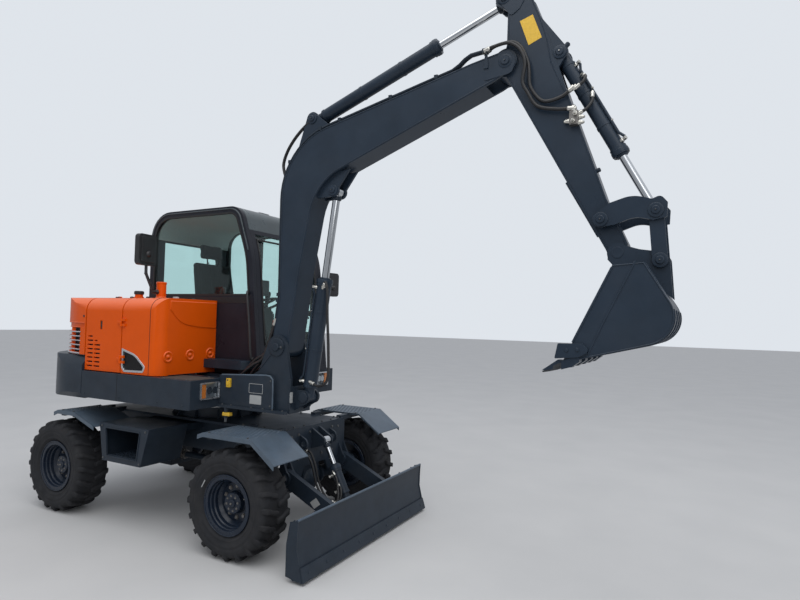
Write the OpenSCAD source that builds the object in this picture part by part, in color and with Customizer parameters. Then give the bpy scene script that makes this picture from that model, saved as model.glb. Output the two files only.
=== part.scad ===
// Wheeled excavator. X points forward, Y to the left and Z up, in millimetres.
// Every module is drawn about the slew axis, with the ground at z = 0; place() then moves it so that
// the origin is at the bottom centre of the whole machine.

/* [Running gear] */
// Distance between the front and the rear axle
wheelbase = 2140; // [2000:10:2300]
// Front axle ahead of the slew axis
front_axle_x = 1050; // [1000:5:1090]
// Distance between the centre planes of the two wheels on an axle
track = 1608; // [1590:2:1640]
// Tyre radius out to the tips of its lugs
tyre_r = 415; // [400:1:425]
// Tyre width
tyre_w = 300; // [280:2:310]
// Lugs on each side of a tyre
lugs = 20; // [18:2:26]
// Height of a lug
lug_h = 23; // [16:1:30]
// Rim radius under the bead
rim_r = 206; // [190:1:215]
// Width of the rim between its flanges
rim_w = 230; // [210:2:250]
// Height of a rim flange above the bead seat
flange_h = 22; // [15:1:28]
// Thickness of the rim's barrel and flanges
rim_t = 10; // [6:1:14]
// Radius of the hub drum
hub_r = 85; // [75:1:95]
// Radius of the wheel spindles
spindle_r = 30; // [24:1:36]
// Distance between the two kingpins of the front axle
kingpin_track = 1280; // [1260:4:1300]
// Radius of a kingpin
kingpin_r = 22; // [18:1:26]
// Radius of the axle tubes
axle_r = 58; // [48:1:64]
// Radius of the differential housings
diff_r = 138; // [120:1:142]

/* [Chassis] */
// Height of the chassis deck
deck_z = 905; // [890:1:920]
// Half width of the chassis deck
deck_half_w = 430; // [400:2:450]
// Thickness of the deck and the front plate
plate_t = 22; // [12:1:26]
// Half width of the chassis box
box_half_w = 280; // [240:2:300]
// Underside of the chassis box
box_z = 600; // [590:1:640]
// Front face of the chassis
chassis_front_x = 1180; // [1170:1:1200]
// Rear face of the chassis
chassis_rear_x = -1290; // [-1320:5:-1250]
// Outer radius of the slew ring
slew_r = 400; // [370:2:420]
// Height of the slew ring
slew_h = 50; // [40:1:60]
// Radius of the holes in the tie-down lugs
tie_r = 22; // [18:1:25]

/* [Fenders and boxes] */
// Height of the flat top of a fender
fender_z = 935; // [925:1:950]
// Thickness of the fender sheet
fender_t = 8; // [5:1:12]
// Half width over the fenders
fender_half_w = 950; // [935:1:955]
// Inner edge of the fenders from the middle
fender_inner = 540; // [500:2:580]
// Outer face of the side boxes from the middle
side_box_y = 905; // [880:1:930]
// Depth of a side box
side_box_d = 400; // [340:2:430]
// Wall of a side box
side_box_t = 14; // [8:1:20]

/* [Blade] */
// Width of the dozer blade
blade_w = 1920; // [1860:2:1960]
// Height of the blade
blade_h = 410; // [360:2:440]
// Gap between the blade and the ground as parked
blade_gap = 22; // [10:1:60]
// Front of the blade's top edge
blade_x = 1747; // [1735:1:1790]
// Depth of the blade's box section
blade_d = 85; // [60:1:95]
// Middle of a push arm from the middle of the machine
push_arm_y = 405; // [395:1:408]
// Thickness of a push arm
push_arm_t = 50; // [36:1:54]
// Depth of a push arm
push_arm_d = 130; // [100:2:140]

/* [Upper structure] */
// Underside of the slewing frame
frame_z = 1080; // [1076:1:1090]
// Height of the skirts
skirt_h = 235; // [220:1:245]
// Half width over the skirts
body_half_w = 925; // [910:1:935]
// Tail radius of the counterweight
tail_r = 1650; // [1640:5:1690]
// Corner radius of the counterweight
tail_corner_r = 650; // [560:5:700]
// Top of the counterweight's outer face
weight_z = 1363; // [1350:1:1380]
// Top of the engine hood
hood_z = 1980; // [1960:5:2010]
// Half width of the engine hood
hood_half_w = 900; // [890:1:905]
// Rounding of the hood's top edges
hood_edge_r = 120; // [80:5:140]
// Thickness of the hood's panels
hood_t = 25; // [18:1:32]

/* [Cab] */
// Right side of the cab
cab_right_y = -260; // [-270:1:-250]
// Width of the cab
cab_w = 1040; // [1000:5:1060]
// Height of the cab's roof above the ground
cab_z = 2860; // [2820:5:2900]
// Thickness of the cab's walls and of the door
cab_t = 45; // [36:1:52]
// Thickness of the glass
glass_t = 8; // [5:1:10]
// Lower edge of the side windows
sill_z = 2030; // [2000:5:2080]
// Gap around the door
door_gap = 6; // [5:1:9]

/* [Boom] */
// Middle plane of the boom
boom_y = -440; // [-444:1:-436]
// Width of the boom
boom_w = 200; // [190:2:204]
// Width of the arm
arm_w = 150; // [140:2:152]
// Side clearance between the moving pieces of the boom
side_gap = 5; // [5:1:7]
// Thickness of the boom's bearing plates on the frame
bracket_t = 28; // [20:1:30]
// Radius of the pin at the boom's foot
foot_pin_r = 32; // [28:1:38]
// Radius of the pin at the boom's tip
tip_pin_r = 30; // [26:1:34]
// Radius of the pins of the bucket linkage and the cylinders
link_pin_r = 25; // [20:1:28]

/* [Bucket] */
// Width of the bucket
bucket_w = 800; // [740:5:820]
// Thickness of the bucket's shell
shell_t = 14; // [10:1:18]
// Number of teeth
teeth = 5; // [3:1:6]
// Width of a tooth
tooth_w = 62; // [50:1:70]

/* [Cylinders] */
// Radius of the boom cylinder's barrel
boom_barrel_r = 56; // [48:1:58]
// Radius of the arm cylinder's barrel
arm_barrel_r = 52; // [44:1:56]
// Radius of the bucket cylinder's barrel
bucket_barrel_r = 46; // [40:1:50]
// Radius of the blade cylinder's barrel
blade_barrel_r = 42; // [36:1:46]

/* [Hidden] */
$fn = 48;
// Radial clearance of a pin, shaft or rod in its bore
fit = 0.05;
// Clearance between faces that slide past each other at rest
seat = 0.3;

// Derived places of the running gear
axle_z = tyre_r;
rear_axle_x = front_axle_x - wheelbase;
kingpin_y = kingpin_track / 2;
wheel_y = track / 2;

// Pins, as [x, z] at rest
boom_foot = [1190, 1600];
boom_tip = [3035, 3588];
boom_cyl_foot = [1420, 1210];
boom_cyl_eye = [1640, 2845];
arm_cyl_foot = [1425, 3440];
arm_cyl_eye = [3010, 4035];
bucket_cyl_foot = [3388, 3590];
rocker_pin = [3662, 2476];
rocker_tip = [3969, 2513];
bucket_pin = [3756, 2277];
bucket_link_pin = [3992, 2223];
blade_pin = [1200, 530];
blade_cyl_foot = [1540, 280];
blade_cyl_eye = [1280, 776];

// Layers from the boom's middle plane outwards: arm, bucket ears, link plates, rocker plates
ear_in = arm_w / 2 + side_gap;
ear_t = 22;
link_in = ear_in + ear_t + side_gap;
link_t = 15;
rocker_in = link_in + link_t + side_gap;
rocker_t = 16;
// Half width of a cylinder's foot and of its rod's eye, and the gap to the ears beside them
foot_half_w = 45;
eye_half_w = 36;
eye_gap = 6;
lug_t = 22;

// Bucket's lowest, rearmost and foremost points set the origin
bucket_back_c = [3925, 1890];
bucket_back_r = 158;
front_x = bucket_back_c[0] + bucket_back_r;
shift_x = -(front_x - tail_r) / 2;

// Slew ring and what stands on it
ring_z = frame_z - slew_h - 30;
skirt_z = frame_z + skirt_h;
floor_z = skirt_z;
cab_left_y = cab_right_y + cab_w;
bracket_in = boom_w / 2 + side_gap;

// Helpers

// Point on a circle of radius r about c at the angle a
function polar(c, r, a) = [c[0] + r * cos(a), c[1] + r * sin(a)];

// Points of an arc from angle a0 to a1 in n steps
function arc(c, r, a0, a1, n = 10) = [for (i = [0:n]) polar(c, r, a0 + (a1 - a0) * i / n)];

function unit(v) = v / norm(v);

// One rounded corner b between a and c with radius r
function corner(a, b, c, r, n = 8) =
    let (u = unit(a - b), v = unit(c - b), half = acos(u * v) / 2,
        d = min(r / tan(half), norm(a - b) * 0.49, norm(c - b) * 0.49), rr = d * tan(half),
        m = b + unit(u + v) * (rr / sin(half)),
        a0 = atan2((b + u * d - m)[1], (b + u * d - m)[0]),
        a1 = atan2((b + v * d - m)[1], (b + v * d - m)[0]),
        da = a1 - a0, turn = da > 180 ? da - 360 : da < -180 ? da + 360 : da)
    r <= 0 ? [b] : arc(m, rr, a0, a0 + turn, n);

// Outline through rows of [x, z, rounding radius]
function rounded(rows, n = 8) =
    let (k = len(rows), p = [for (q = rows) [q[0], q[1]]])
    [for (i = [0:k - 1]) each corner(p[(i + k - 1) % k], p[i], p[(i + 1) % k], rows[i][2], n)];

// Points of an outline that runs counter-clockwise, moved inwards by d
function inset(p, d) = let (n = len(p)) [for (i = [0:n - 1])
    let (u = unit(p[i] - p[(i + n - 1) % n]), v = unit(p[(i + 1) % n] - p[i]), a = [-u[1], u[0]], b = [-v[1], v[0]])
    p[i] + (a + b) * d / (1 + a * b)];

// Moves everything so that the origin is at the bottom centre of the machine
module place() translate([shift_x, 0, 0]) children();

// Extrudes an outline in x and z from y0 to y1
module slab(y0, y1) translate([0, y1, 0]) rotate([90, 0, 0]) linear_extrude(y1 - y0) children();

// Extrudes an outline in y and z from x0 to x1
module slab_x(x0, x1) translate([x0, 0, 0]) rotate([90, 0, 90]) linear_extrude(x1 - x0) children();

// Two slabs on both sides of the plane y = mid, from in to out
module pair(mid, in, out) {
    slab(mid + in, mid + out) children();
    slab(mid - out, mid - in) children();
}

// Cylinder along y about [x, z] from y0 to y1
module pin_y(c, r, y0, y1) translate([c[0], y1, c[1]]) rotate([90, 0, 0]) cylinder(r = r, h = y1 - y0);

// Box given by its low and high corners
module block(lo, hi) translate(lo) cube(hi - lo);

// Copies the children to the left side, mirrored
module both_sides() {
    children();
    mirror([0, 1, 0]) children();
}

// Disc outline at a pin
module disc(c, r) translate(c) circle(r = r);

// Straight bar outline between two pins, with a width
module bar(a, b, w) {
    d = unit(b - a);
    s = [-d[1], d[0]] * w / 2;
    polygon([a + s, b + s, b - s, a - s]);
}

// Wheels: side is 1 on the left and -1 on the right
module on_axle(x, side) translate([x, side * wheel_y, axle_z]) rotate([-90 * side, 0, 0]) children();

// Tyre: two halves of flat facets with a lug on each, turned half a lug from each other
lug_pitch = 360 / lugs;
lug_half = tyre_r * tan(lug_pitch / 4);
module facets(r, z0, z1, n = lugs) translate([0, 0, z0]) linear_extrude(z1 - z0)
    polygon([for (i = [1:n]) polar([0, 0], r / cos(180 / n), (i + 0.5) * 360 / n - 90)]);
module tyre_half() {
    w = tyre_w / 2;
    tread = w - 16;
    difference() {
        union() {
            facets(tyre_r - lug_h, 0, tread);
            facets(tyre_r - lug_h - 38, 0, w);
        }
        facets(rim_r + flange_h + 28, rim_w / 2, w + 1);
    }
    for (i = [1:lugs]) rotate([0, 0, i * lug_pitch - 90]) slab_x(tyre_r - lug_h - 6, tyre_r)
        polygon([[-lug_half, 6], [-2, 6], [lug_half, tread], [3, tread]]);
}
module tyre() difference() {
    union() {
        tyre_half();
        rotate([0, 0, lug_pitch / 2]) mirror([0, 0, 1]) tyre_half();
    }
    facets(rim_r, -tyre_w, tyre_w, 16);
}

// Rim with its dished disc and the hub drum, outboard side up
module rim() {
    w = rim_w / 2;
    hub_in = -70;
    hub_out = 62;
    cap_t = 10;
    disc_z = 0;
    rotate_extrude($fn = 64) polygon([[0, hub_out], [0, hub_out - cap_t], [spindle_r + fit, hub_out - cap_t],
        [spindle_r + fit, hub_in], [hub_r, hub_in], [hub_r, disc_z - 6], [rim_r - rim_t, disc_z - 6],
        [rim_r - rim_t, -w - rim_t], [rim_r + flange_h, -w - rim_t], [rim_r + flange_h, -w], [rim_r, -w],
        [rim_r, w], [rim_r + flange_h, w], [rim_r + flange_h, w + rim_t], [rim_r - rim_t, w + rim_t],
        [rim_r - rim_t, disc_z + 6], [hub_r, disc_z + 6], [hub_r - 8, hub_out]]);
}

// Front axle: beam, differential, kingpin bosses and the steering cylinder on top
steer_x = -105;
steer_rod_r = 14;
boss_h = 120;
fork_z = boss_h / 2 + 1;
fork_t = 24;
steer_z = fork_z + fork_t + 0.7 + steer_rod_r;
module front_axle() color("#2a3038") translate([front_axle_x, 0, axle_z]) difference() {
    union() {
        rotate([90, 0, 0]) cylinder(r = axle_r, h = kingpin_track - 60, center = true);
        sphere(r = diff_r);
        block([-90, -110, 0], [90, 110, box_z - axle_z]);
        both_sides() translate([0, kingpin_y, 0]) cylinder(r = kingpin_r + 22, h = boss_h, center = true);
        translate([steer_x, 0, steer_z]) rotate([90, 0, 0]) cylinder(r = 36, h = 300, center = true);
    }
    both_sides() translate([0, kingpin_y, 0]) cylinder(r = kingpin_r + fit, h = boss_h + 2, center = true);
    translate([steer_x, 0, steer_z]) rotate([90, 0, 0]) cylinder(r = steer_rod_r + fit, h = 302, center = true);
}

// Rod of the steering cylinder, with an eye over each knuckle's arm
module steering_rod() color("silver") translate([front_axle_x + steer_x, 0, axle_z + steer_z]) {
    rotate([90, 0, 0]) cylinder(r = steer_rod_r, h = 2 * (kingpin_y - 60), center = true);
    both_sides() translate([0, kingpin_y - 40, 0]) cylinder(r = 22, h = 2 * steer_rod_r, center = true);
}

// Knuckle: fork over the kingpin boss, kingpin, spindle and steering arm
module knuckle() color("#2a3038") translate([front_axle_x, kingpin_y, axle_z]) {
    cylinder(r = kingpin_r, h = 2 * (fork_z + fork_t), center = true);
    for (s = [-1, 1]) {
        z0 = s > 0 ? fork_z : -fork_z - fork_t;
        translate([0, 0, z0]) linear_extrude(fork_t) {
            circle(r = kingpin_r + 20);
            translate([-kingpin_r - 20, 0]) square([2 * kingpin_r + 40, 75]);
        }
    }
    block([-55, 50, -fork_z - fork_t], [55, 75, fork_z + fork_t]);
    translate([0, 60, 0]) rotate([-90, 0, 0]) cylinder(r = spindle_r, h = wheel_y - kingpin_y - 20);
    translate([0, 0, fork_z]) linear_extrude(fork_t) polygon([[-10, -30], [-10, 40],
        [steer_x - 18, -24], [steer_x - 18, -56], [steer_x + 10, -58]]);
}

module rear_axle() color("#2a3038") translate([rear_axle_x, 0, axle_z]) {
    rotate([90, 0, 0]) cylinder(r = axle_r, h = track - 260, center = true);
    rotate([90, 0, 0]) cylinder(r = spindle_r, h = track + 60, center = true);
    sphere(r = diff_r);
    both_sides() block([-70, 150, 0], [70, 230, box_z - axle_z]);
}

// Propeller shaft between the axles, with the drop box under the chassis
module drive_shaft() color("#30363c") {
    z = axle_z + 20;
    x0 = rear_axle_x + diff_r - 6;
    x1 = front_axle_x - diff_r + 6;
    difference() {
        union() {
            translate([x0, 0, z]) rotate([0, 90, 0]) cylinder(r = 30, h = x1 - x0);
            block([rear_axle_x + 330, -130, z - 95], [rear_axle_x + 610, 130, box_z]);
        }
        for (x = [rear_axle_x, front_axle_x]) translate([x, 0, axle_z]) sphere(r = diff_r + seat);
    }
}

// Faces of the paired lugs that carry the push arms
arm_lug_y = push_arm_y - push_arm_t / 2 - side_gap;
arm_plate_y = push_arm_y + push_arm_t / 2 + side_gap;
arm_lug_t = 18;
module chassis_frame() color("#2b333e") {
    block([chassis_rear_x, -box_half_w, box_z], [chassis_front_x - plate_t, box_half_w, deck_z - plate_t]);
    block([rear_axle_x - 20, -deck_half_w, deck_z - plate_t], [chassis_front_x, deck_half_w, deck_z]);
    // Front plate, cut away over the axle's housing and beside the push arms
    both_sides() slab_x(chassis_front_x - plate_t, chassis_front_x) polygon([[0, box_z - 35], [150, box_z - 35],
        [200, box_z - 130], [arm_lug_y, box_z - 130], [arm_lug_y, blade_pin[1] + push_arm_d / 2 + 17],
        [arm_plate_y + arm_lug_t, blade_pin[1] + push_arm_d / 2 + 17], [arm_plate_y + arm_lug_t, deck_z - plate_t],
        [0, deck_z - plate_t]]);
    translate([0, 0, deck_z]) cylinder(r = slew_r - 30, h = ring_z - deck_z, $fn = 64);
    // Lugs and pins of the blade's push arms
    both_sides() {
        slab(arm_lug_y - arm_lug_t, arm_lug_y) arm_lug();
        slab(arm_plate_y, arm_plate_y + arm_lug_t) arm_lug();
        pin_y(blade_pin, link_pin_r, arm_lug_y - arm_lug_t + 2, arm_plate_y + arm_lug_t - 2);
    }
    // Ears for the eye of the blade cylinder
    pair(0, eye_half_w + eye_gap, eye_half_w + eye_gap + lug_t) {
        disc(blade_cyl_eye, 42);
        polygon([[chassis_front_x, blade_cyl_eye[1] + 105], [chassis_front_x, blade_cyl_eye[1] - 75],
            polar(blade_cyl_eye, 42, -60), polar(blade_cyl_eye, 42, 60)]);
    }
    both_sides() {
        // Bars that carry the fenders, and the brackets of the side boxes
        for (x = [rear_axle_x + 45, rear_axle_x + 210, front_axle_x - 230, front_axle_x + 70])
            block([x, deck_half_w - 30, deck_z - plate_t], [x + 50, fender_half_w - 30, fender_z - fender_t]);
        block([-480, box_half_w, 800], [100, side_box_y - side_box_d - side_box_t, 860]);
    }
}

// Tie-down lugs at the front and the rear of the chassis, as [x, direction], each with one hole
tie_rows = [[chassis_front_x, 1], [chassis_rear_x, -1]];
tie_y = 215;
tie_z = 770;
tie_t = 20;
tie_hole = 36;
module tie_downs() color("#2b333e") both_sides() for (t = tie_rows) slab(tie_y - tie_t / 2, tie_y + tie_t / 2)
    translate([t[0], tie_z]) difference() {
        polygon([[0, -70], [t[1] * 58, -42], [t[1] * 76, -12], [t[1] * 76, 12], [t[1] * 58, 42], [0, 70]]);
        translate([t[1] * tie_hole, 0]) circle(r = tie_r);
    }

// Lug of a push arm, below the front plate
module arm_lug() {
    disc(blade_pin, 62);
    polygon([[chassis_front_x - plate_t, box_z + 90], [chassis_front_x, box_z + 90], blade_pin + [30, 54],
        blade_pin + [0, -62], [chassis_front_x - plate_t, blade_pin[1] - 62]]);
}

module slew_ring() color("#3a4048") difference() {
    translate([0, 0, ring_z]) cylinder(r = slew_r, h = slew_h, $fn = 64);
    translate([0, 0, ring_z - 1]) cylinder(r = slew_r - 90, h = slew_h + 2, $fn = 64);
}

// Fender sheets over the wheels, each folded from one strip
module fender_sheet(rows) {
    n = len(rows) - 1;
    slab(fender_inner, fender_half_w) polygon(concat(rows, [for (i = [n:-1:0]) rows[i] - [0, fender_t]]));
}
module fenders() color("#4a525c") both_sides() {
    x = front_axle_x;
    fender_sheet([[x - 308, deck_z + fender_t], [x - 250, fender_z], [x + 233, fender_z], [x + 457, fender_z - 161]]);
    r = rear_axle_x;
    fender_sheet([[r - 25, deck_z + fender_t], [r + 30, fender_z], [r + 277, fender_z], [r + 560, fender_z - 97]]);
}

module side_boxes() color("#2b333e") both_sides() {
    y1 = side_box_y;
    y0 = side_box_y - side_box_d;
    outline = [[-511, 873], [-453, 550], [43, 550], [136, 873]];
    slab(y0, y1 - side_box_t) difference() {
        polygon(outline);
        polygon(inset(outline, side_box_t));
    }
    slab(y0 - side_box_t, y0) polygon(outline);
    slab(y1 - side_box_t, y1) difference() {
        polygon(outline);
        polygon([[-420, 832], [20, 832], [-12, 600], [-392, 600]]);
    }
}

// Blade with its push arms
module blade() color("#2b333e") difference() {
    z1 = blade_gap + blade_h;
    union() {
        slab(-blade_w / 2, blade_w / 2) polygon([[blade_x, z1], [blade_x - 60, z1 - 20], [blade_x - blade_d, z1 - 170],
            [blade_x - blade_d, blade_gap + 40], [blade_x - 30, blade_gap], [blade_x + 50, blade_gap],
            [blade_x + 22, blade_gap + 90], [blade_x - 8, blade_gap + 210], [blade_x - 6, blade_gap + 320]]);
        both_sides() slab(push_arm_y - push_arm_t / 2, push_arm_y + push_arm_t / 2) {
            disc(blade_pin, push_arm_d / 2);
            bar(blade_pin, [blade_x - 40, 300], push_arm_d);
        }
        // Ears of the blade cylinder's foot, on a cross tube
        pair(0, eye_half_w + eye_gap, eye_half_w + eye_gap + lug_t) {
            disc(blade_cyl_foot, 45);
            polygon([polar(blade_cyl_foot, 45, 90), polar(blade_cyl_foot, 45, -90), [blade_x - 60, 200],
                [blade_x - 60, 350]]);
        }
        pin_y(blade_cyl_foot, link_pin_r, -eye_half_w - eye_gap - lug_t, eye_half_w + eye_gap + lug_t);
    }
    both_sides() pin_y(blade_pin, link_pin_r + fit, push_arm_y - 60, push_arm_y + 60);
}

// Cylinder pieces lie between a foot a and an eye b, both [x, z], about the plane y = mid
module along(a, b, mid) {
    d = b - a;
    translate([a[0], mid, a[1]]) rotate([0, -atan2(d[1], d[0]), 0]) children();
}

// Barrel: foot with a bore for its pin, tube and gland, bored for the rod
neck_end = 78;
module barrel(a, b, mid, r, rod_r, length, half_w) color("#232a33") along(a, b, mid) difference() {
    union() {
        rotate([90, 0, 0]) cylinder(r = link_pin_r + 17, h = 2 * half_w, center = true);
        rotate([0, 90, 0]) cylinder(r = min(r - 4, half_w - 2), h = neck_end + 4);
        translate([neck_end, 0, 0]) rotate([0, 90, 0]) cylinder(r = r, h = length - neck_end);
        translate([length - 55, 0, 0]) rotate([0, 90, 0]) cylinder(r = r + 6, h = 55);
    }
    rotate([90, 0, 0]) cylinder(r = link_pin_r + fit, h = 2 * half_w + 2, center = true);
    translate([link_pin_r + 37, 0, 0]) rotate([0, 90, 0]) cylinder(r = rod_r + fit, h = length);
}

// Rod with a plain round eye
module rod(a, b, mid, rod_r, length, half_w, eye_r) color("silver") along(a, b, mid) {
    reach = norm(b - a);
    translate([reach - length, 0, 0]) rotate([0, 90, 0]) cylinder(r = rod_r, h = length - 10);
    translate([reach, 0, 0]) rotate([90, 0, 0]) cylinder(r = eye_r, h = 2 * half_w, center = true);
}

module blade_barrel() barrel(blade_cyl_foot, blade_cyl_eye, 0, blade_barrel_r, 22, 330, eye_half_w);
module blade_rod() rod(blade_cyl_foot, blade_cyl_eye, 0, 22, 400, eye_half_w, 36);
module boom_barrel() barrel(boom_cyl_foot, boom_cyl_eye, boom_y, boom_barrel_r, 30, 950, foot_half_w);
module boom_rod() rod(boom_cyl_foot, boom_cyl_eye, boom_y, 30, 1000, eye_half_w, 40);
module arm_barrel() barrel(arm_cyl_foot, arm_cyl_eye, boom_y, arm_barrel_r, 27, 1150, foot_half_w);
module arm_rod() rod(arm_cyl_foot, arm_cyl_eye, boom_y, 27, 1180, eye_half_w, 42);
module bucket_barrel() barrel(bucket_cyl_foot, rocker_tip, boom_y, bucket_barrel_r, 25, 790, foot_half_w);
module bucket_rod() rod(bucket_cyl_foot, rocker_tip, boom_y, 25, 850, arm_w / 2 - 3, 42);

// Slewing frame with the boom's bearing plates
module upper_frame() color("#242c36") {
    // Bearing race that turns in the slew ring
    translate([0, 0, ring_z + 10]) cylinder(r = slew_r - 90 - 2 * fit, h = frame_z - ring_z - 10, $fn = 64);
    translate([0, 0, ring_z + slew_h + seat]) cylinder(r = slew_r - 10, h = frame_z - ring_z - slew_h - seat, $fn = 64);
    block([-770, -600, frame_z], [620, 600, frame_z + 25]);
    translate([0, 0, frame_z]) linear_extrude(25) polygon(bay_plan);
    // Bulkhead in front of the engine, with the brackets and pins of the hood's hinges
    block([bulkhead_x - bulkhead_t, -600, frame_z + 25], [bulkhead_x, 600, skirt_z]);
    slab_x(bulkhead_x - bulkhead_t, bulkhead_x) polygon(rounded([[-hood_half_w + 32, skirt_z, 0],
        [-hood_half_w + 32, hood_z - hood_t - 6, hood_edge_r], [hood_half_w - 32, hood_z - hood_t - 6, hood_edge_r],
        [hood_half_w - 32, skirt_z, 0]]));
    for (y = hood_hinge_y) {
        block([hood_hinge[0], y - 40, hood_hinge[1] - 4], [bulkhead_x, y - 12, hood_hinge[1] + 6]);
        block([bulkhead_x - bulkhead_t, y - 40, hood_z - hood_t - 10], [bulkhead_x, y - 12, hood_hinge[1] + 6]);
        pin_y(hood_hinge, hinge_pin_r, y - 40, y + 20);
    }
    // Longitudinal webs under the cab and the covers
    for (y = [boom_y - bracket_in - bracket_t, boom_y + bracket_in, 430])
        block([bulkhead_x, y, frame_z + 25], [600, y + bracket_t, skirt_z]);
    // Front panels around the console
    block([600, -300, frame_z], [620, 600, skirt_z]);
    slab(boom_y - bracket_in - bracket_t, boom_y - bracket_in) bracket_outline();
    slab(boom_y + bracket_in, boom_y + bracket_in + bracket_t) bracket_outline();
    // Console beside the right plate, with a rounded front corner
    slab(-612, boom_y - bracket_in - bracket_t) polygon(rounded([[620, frame_z, 0], [1190, frame_z, 0],
        [1190, 1375, 60], [620, 1345, 0]]));
    block([620, -632, frame_z], [1335, -600, frame_z + 22]);
    // Duct beside the cab in front of the side cover, on a foot
    slab(-400, cab_right_y - 8) polygon(rounded([[cover_front_x, 1372, 0], [650, 1372, 0], [650, 1448, 15],
        [cover_front_x, 1448, 0]]));
    block([560, boom_y + bracket_in, skirt_z - 10], [620, boom_y + bracket_in + bracket_t, 1380]);
    // Floor and cross plate between the plates, ears and pin of the boom cylinder
    block([620, boom_y - bracket_in, frame_z], [1335, boom_y + bracket_in, frame_z + 25]);
    block([1310, boom_y - bracket_in, frame_z + 25], [1335, boom_y + bracket_in, 1290]);
    pair(boom_y, foot_half_w + eye_gap, foot_half_w + eye_gap + lug_t) {
        disc(boom_cyl_foot, 55);
        polygon([[1335, boom_cyl_foot[1] + 55], [1335, frame_z + 20], boom_cyl_foot + [10, -54], boom_cyl_foot + [0, 55]]);
    }
    pin_y(boom_cyl_foot, link_pin_r, boom_y - foot_half_w - eye_gap - lug_t, boom_y + foot_half_w + eye_gap + lug_t);
    pin_y(boom_foot, foot_pin_r, boom_y - bracket_in - bracket_t - 8, boom_y + bracket_in + bracket_t + 8);
}
module bracket_outline() {
    disc(boom_foot, 95);
    polygon([[600, frame_z], [1335, frame_z], [1335, 1360], polar(boom_foot, 95, 8), polar(boom_foot, 95, 160),
        [1010, 1400], [880, skirt_z + 20], [600, skirt_z]]);
}

// Skirts: closed side housings with the walkway on top
module skirts() color("#2a323c") {
    difference() {
        block([-765, -body_half_w, frame_z], [620, -612, skirt_z]);
        block([600, -820, 1155], [625, -620, 1285]);
    }
    block([-765, 612, frame_z], [700, body_half_w, skirt_z]);
}

// Plan outline of the tail: half width, tail radius and corner radius
function tail_plan(w, big, small) =
    let (c = sqrt(pow(big - small, 2) - pow(w - small, 2)), a = atan2(w - small, c), x0 = max(-770, 20 - c))
    concat([[x0, w]], [for (p = arc([-c, w - small], small, 90, 180 - a, 10)) p],
        [for (p = arc([0, 0], big, 180 - a, 180 + a, 12)) p],
        [for (p = arc([-c, small - w], small, 180 + a, 270, 10)) p], [[x0, -w]]);

// Engine bay inside the counterweight
bay_plan = tail_plan(body_half_w - 150, tail_r - 250, tail_corner_r - 150);

weight_top = weight_z + 87;
module counterweight() color("#232a34") difference() {
    intersection() {
        translate([0, 0, frame_z - 20]) linear_extrude(weight_top - frame_z + 20)
            polygon(tail_plan(body_half_w, tail_r, tail_corner_r));
        slab(-1000, 1000) polygon([[-770, frame_z - 20], [-tail_r + 50, frame_z - 20], [-tail_r, frame_z + 30],
            [-tail_r, weight_z], [-tail_r + 85, weight_top], [-770, weight_top]]);
        rotate([90, 0, 90]) translate([0, 0, -1700]) linear_extrude(1000) polygon([[-body_half_w + 40, frame_z - 20],
            [-body_half_w, frame_z + 30], [-body_half_w, weight_z], [-body_half_w + 60, weight_top],
            [body_half_w - 60, weight_top], [body_half_w, weight_z], [body_half_w, frame_z + 30],
            [body_half_w - 40, frame_z - 20]]);
    }
    translate([0, 0, frame_z - 30]) linear_extrude(500) polygon(bay_plan);
}

module engine() color("#4a4f55") block([-tail_r + 330, -400, frame_z + 25], [-840, 400, 1720]);

// Engine hood: a lid over the tail, rounded along its top edges
hood_r = tail_r - 70;
hood_corner_r = tail_corner_r + 130;
hood_front_x = -779;
bulkhead_x = -754;
bulkhead_t = 12;
// Pins of the hood's hinges, as [x, z], and the places of the hinges across it
hood_hinge = [-786, 1992];
hood_hinge_y = [-560, 560];
hinge_pin_r = 7;
hinge_eye_r = 11;
hood_low_z = weight_top + 6;
// Grille round the back of the hood, with a set-back band between it and the hood's lower edge
grille_x = -862;
grille_z = 1706;
slats = 6;
slat_t = 9;
slat_d = 34;
grille_posts = [-38, -19, 0, 19, 38];
visor_z = 1746;
band_x = -795;
module hood_form(in) {
    w = hood_half_w - in;
    intersection() {
        translate([0, 0, hood_low_z - in]) linear_extrude(hood_z - hood_low_z)
            polygon(tail_plan(w, hood_r - in, hood_corner_r - in));
        slab(-1000, 1000) polygon(rounded([[hood_front_x + in, hood_low_z - 30, 0], [hood_front_x + in, hood_z - in, 0],
            [-hood_r + in, hood_z - in, 190], [-hood_r + in, hood_low_z - 30, 0]]));
        rotate([90, 0, 90]) translate([0, 0, -1700]) linear_extrude(1000) polygon(rounded([[-w, hood_low_z - 30, 0],
            [-w, hood_z - in, hood_edge_r], [w, hood_z - in, hood_edge_r], [w, hood_low_z - 30, 0]]));
    }
}
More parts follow.
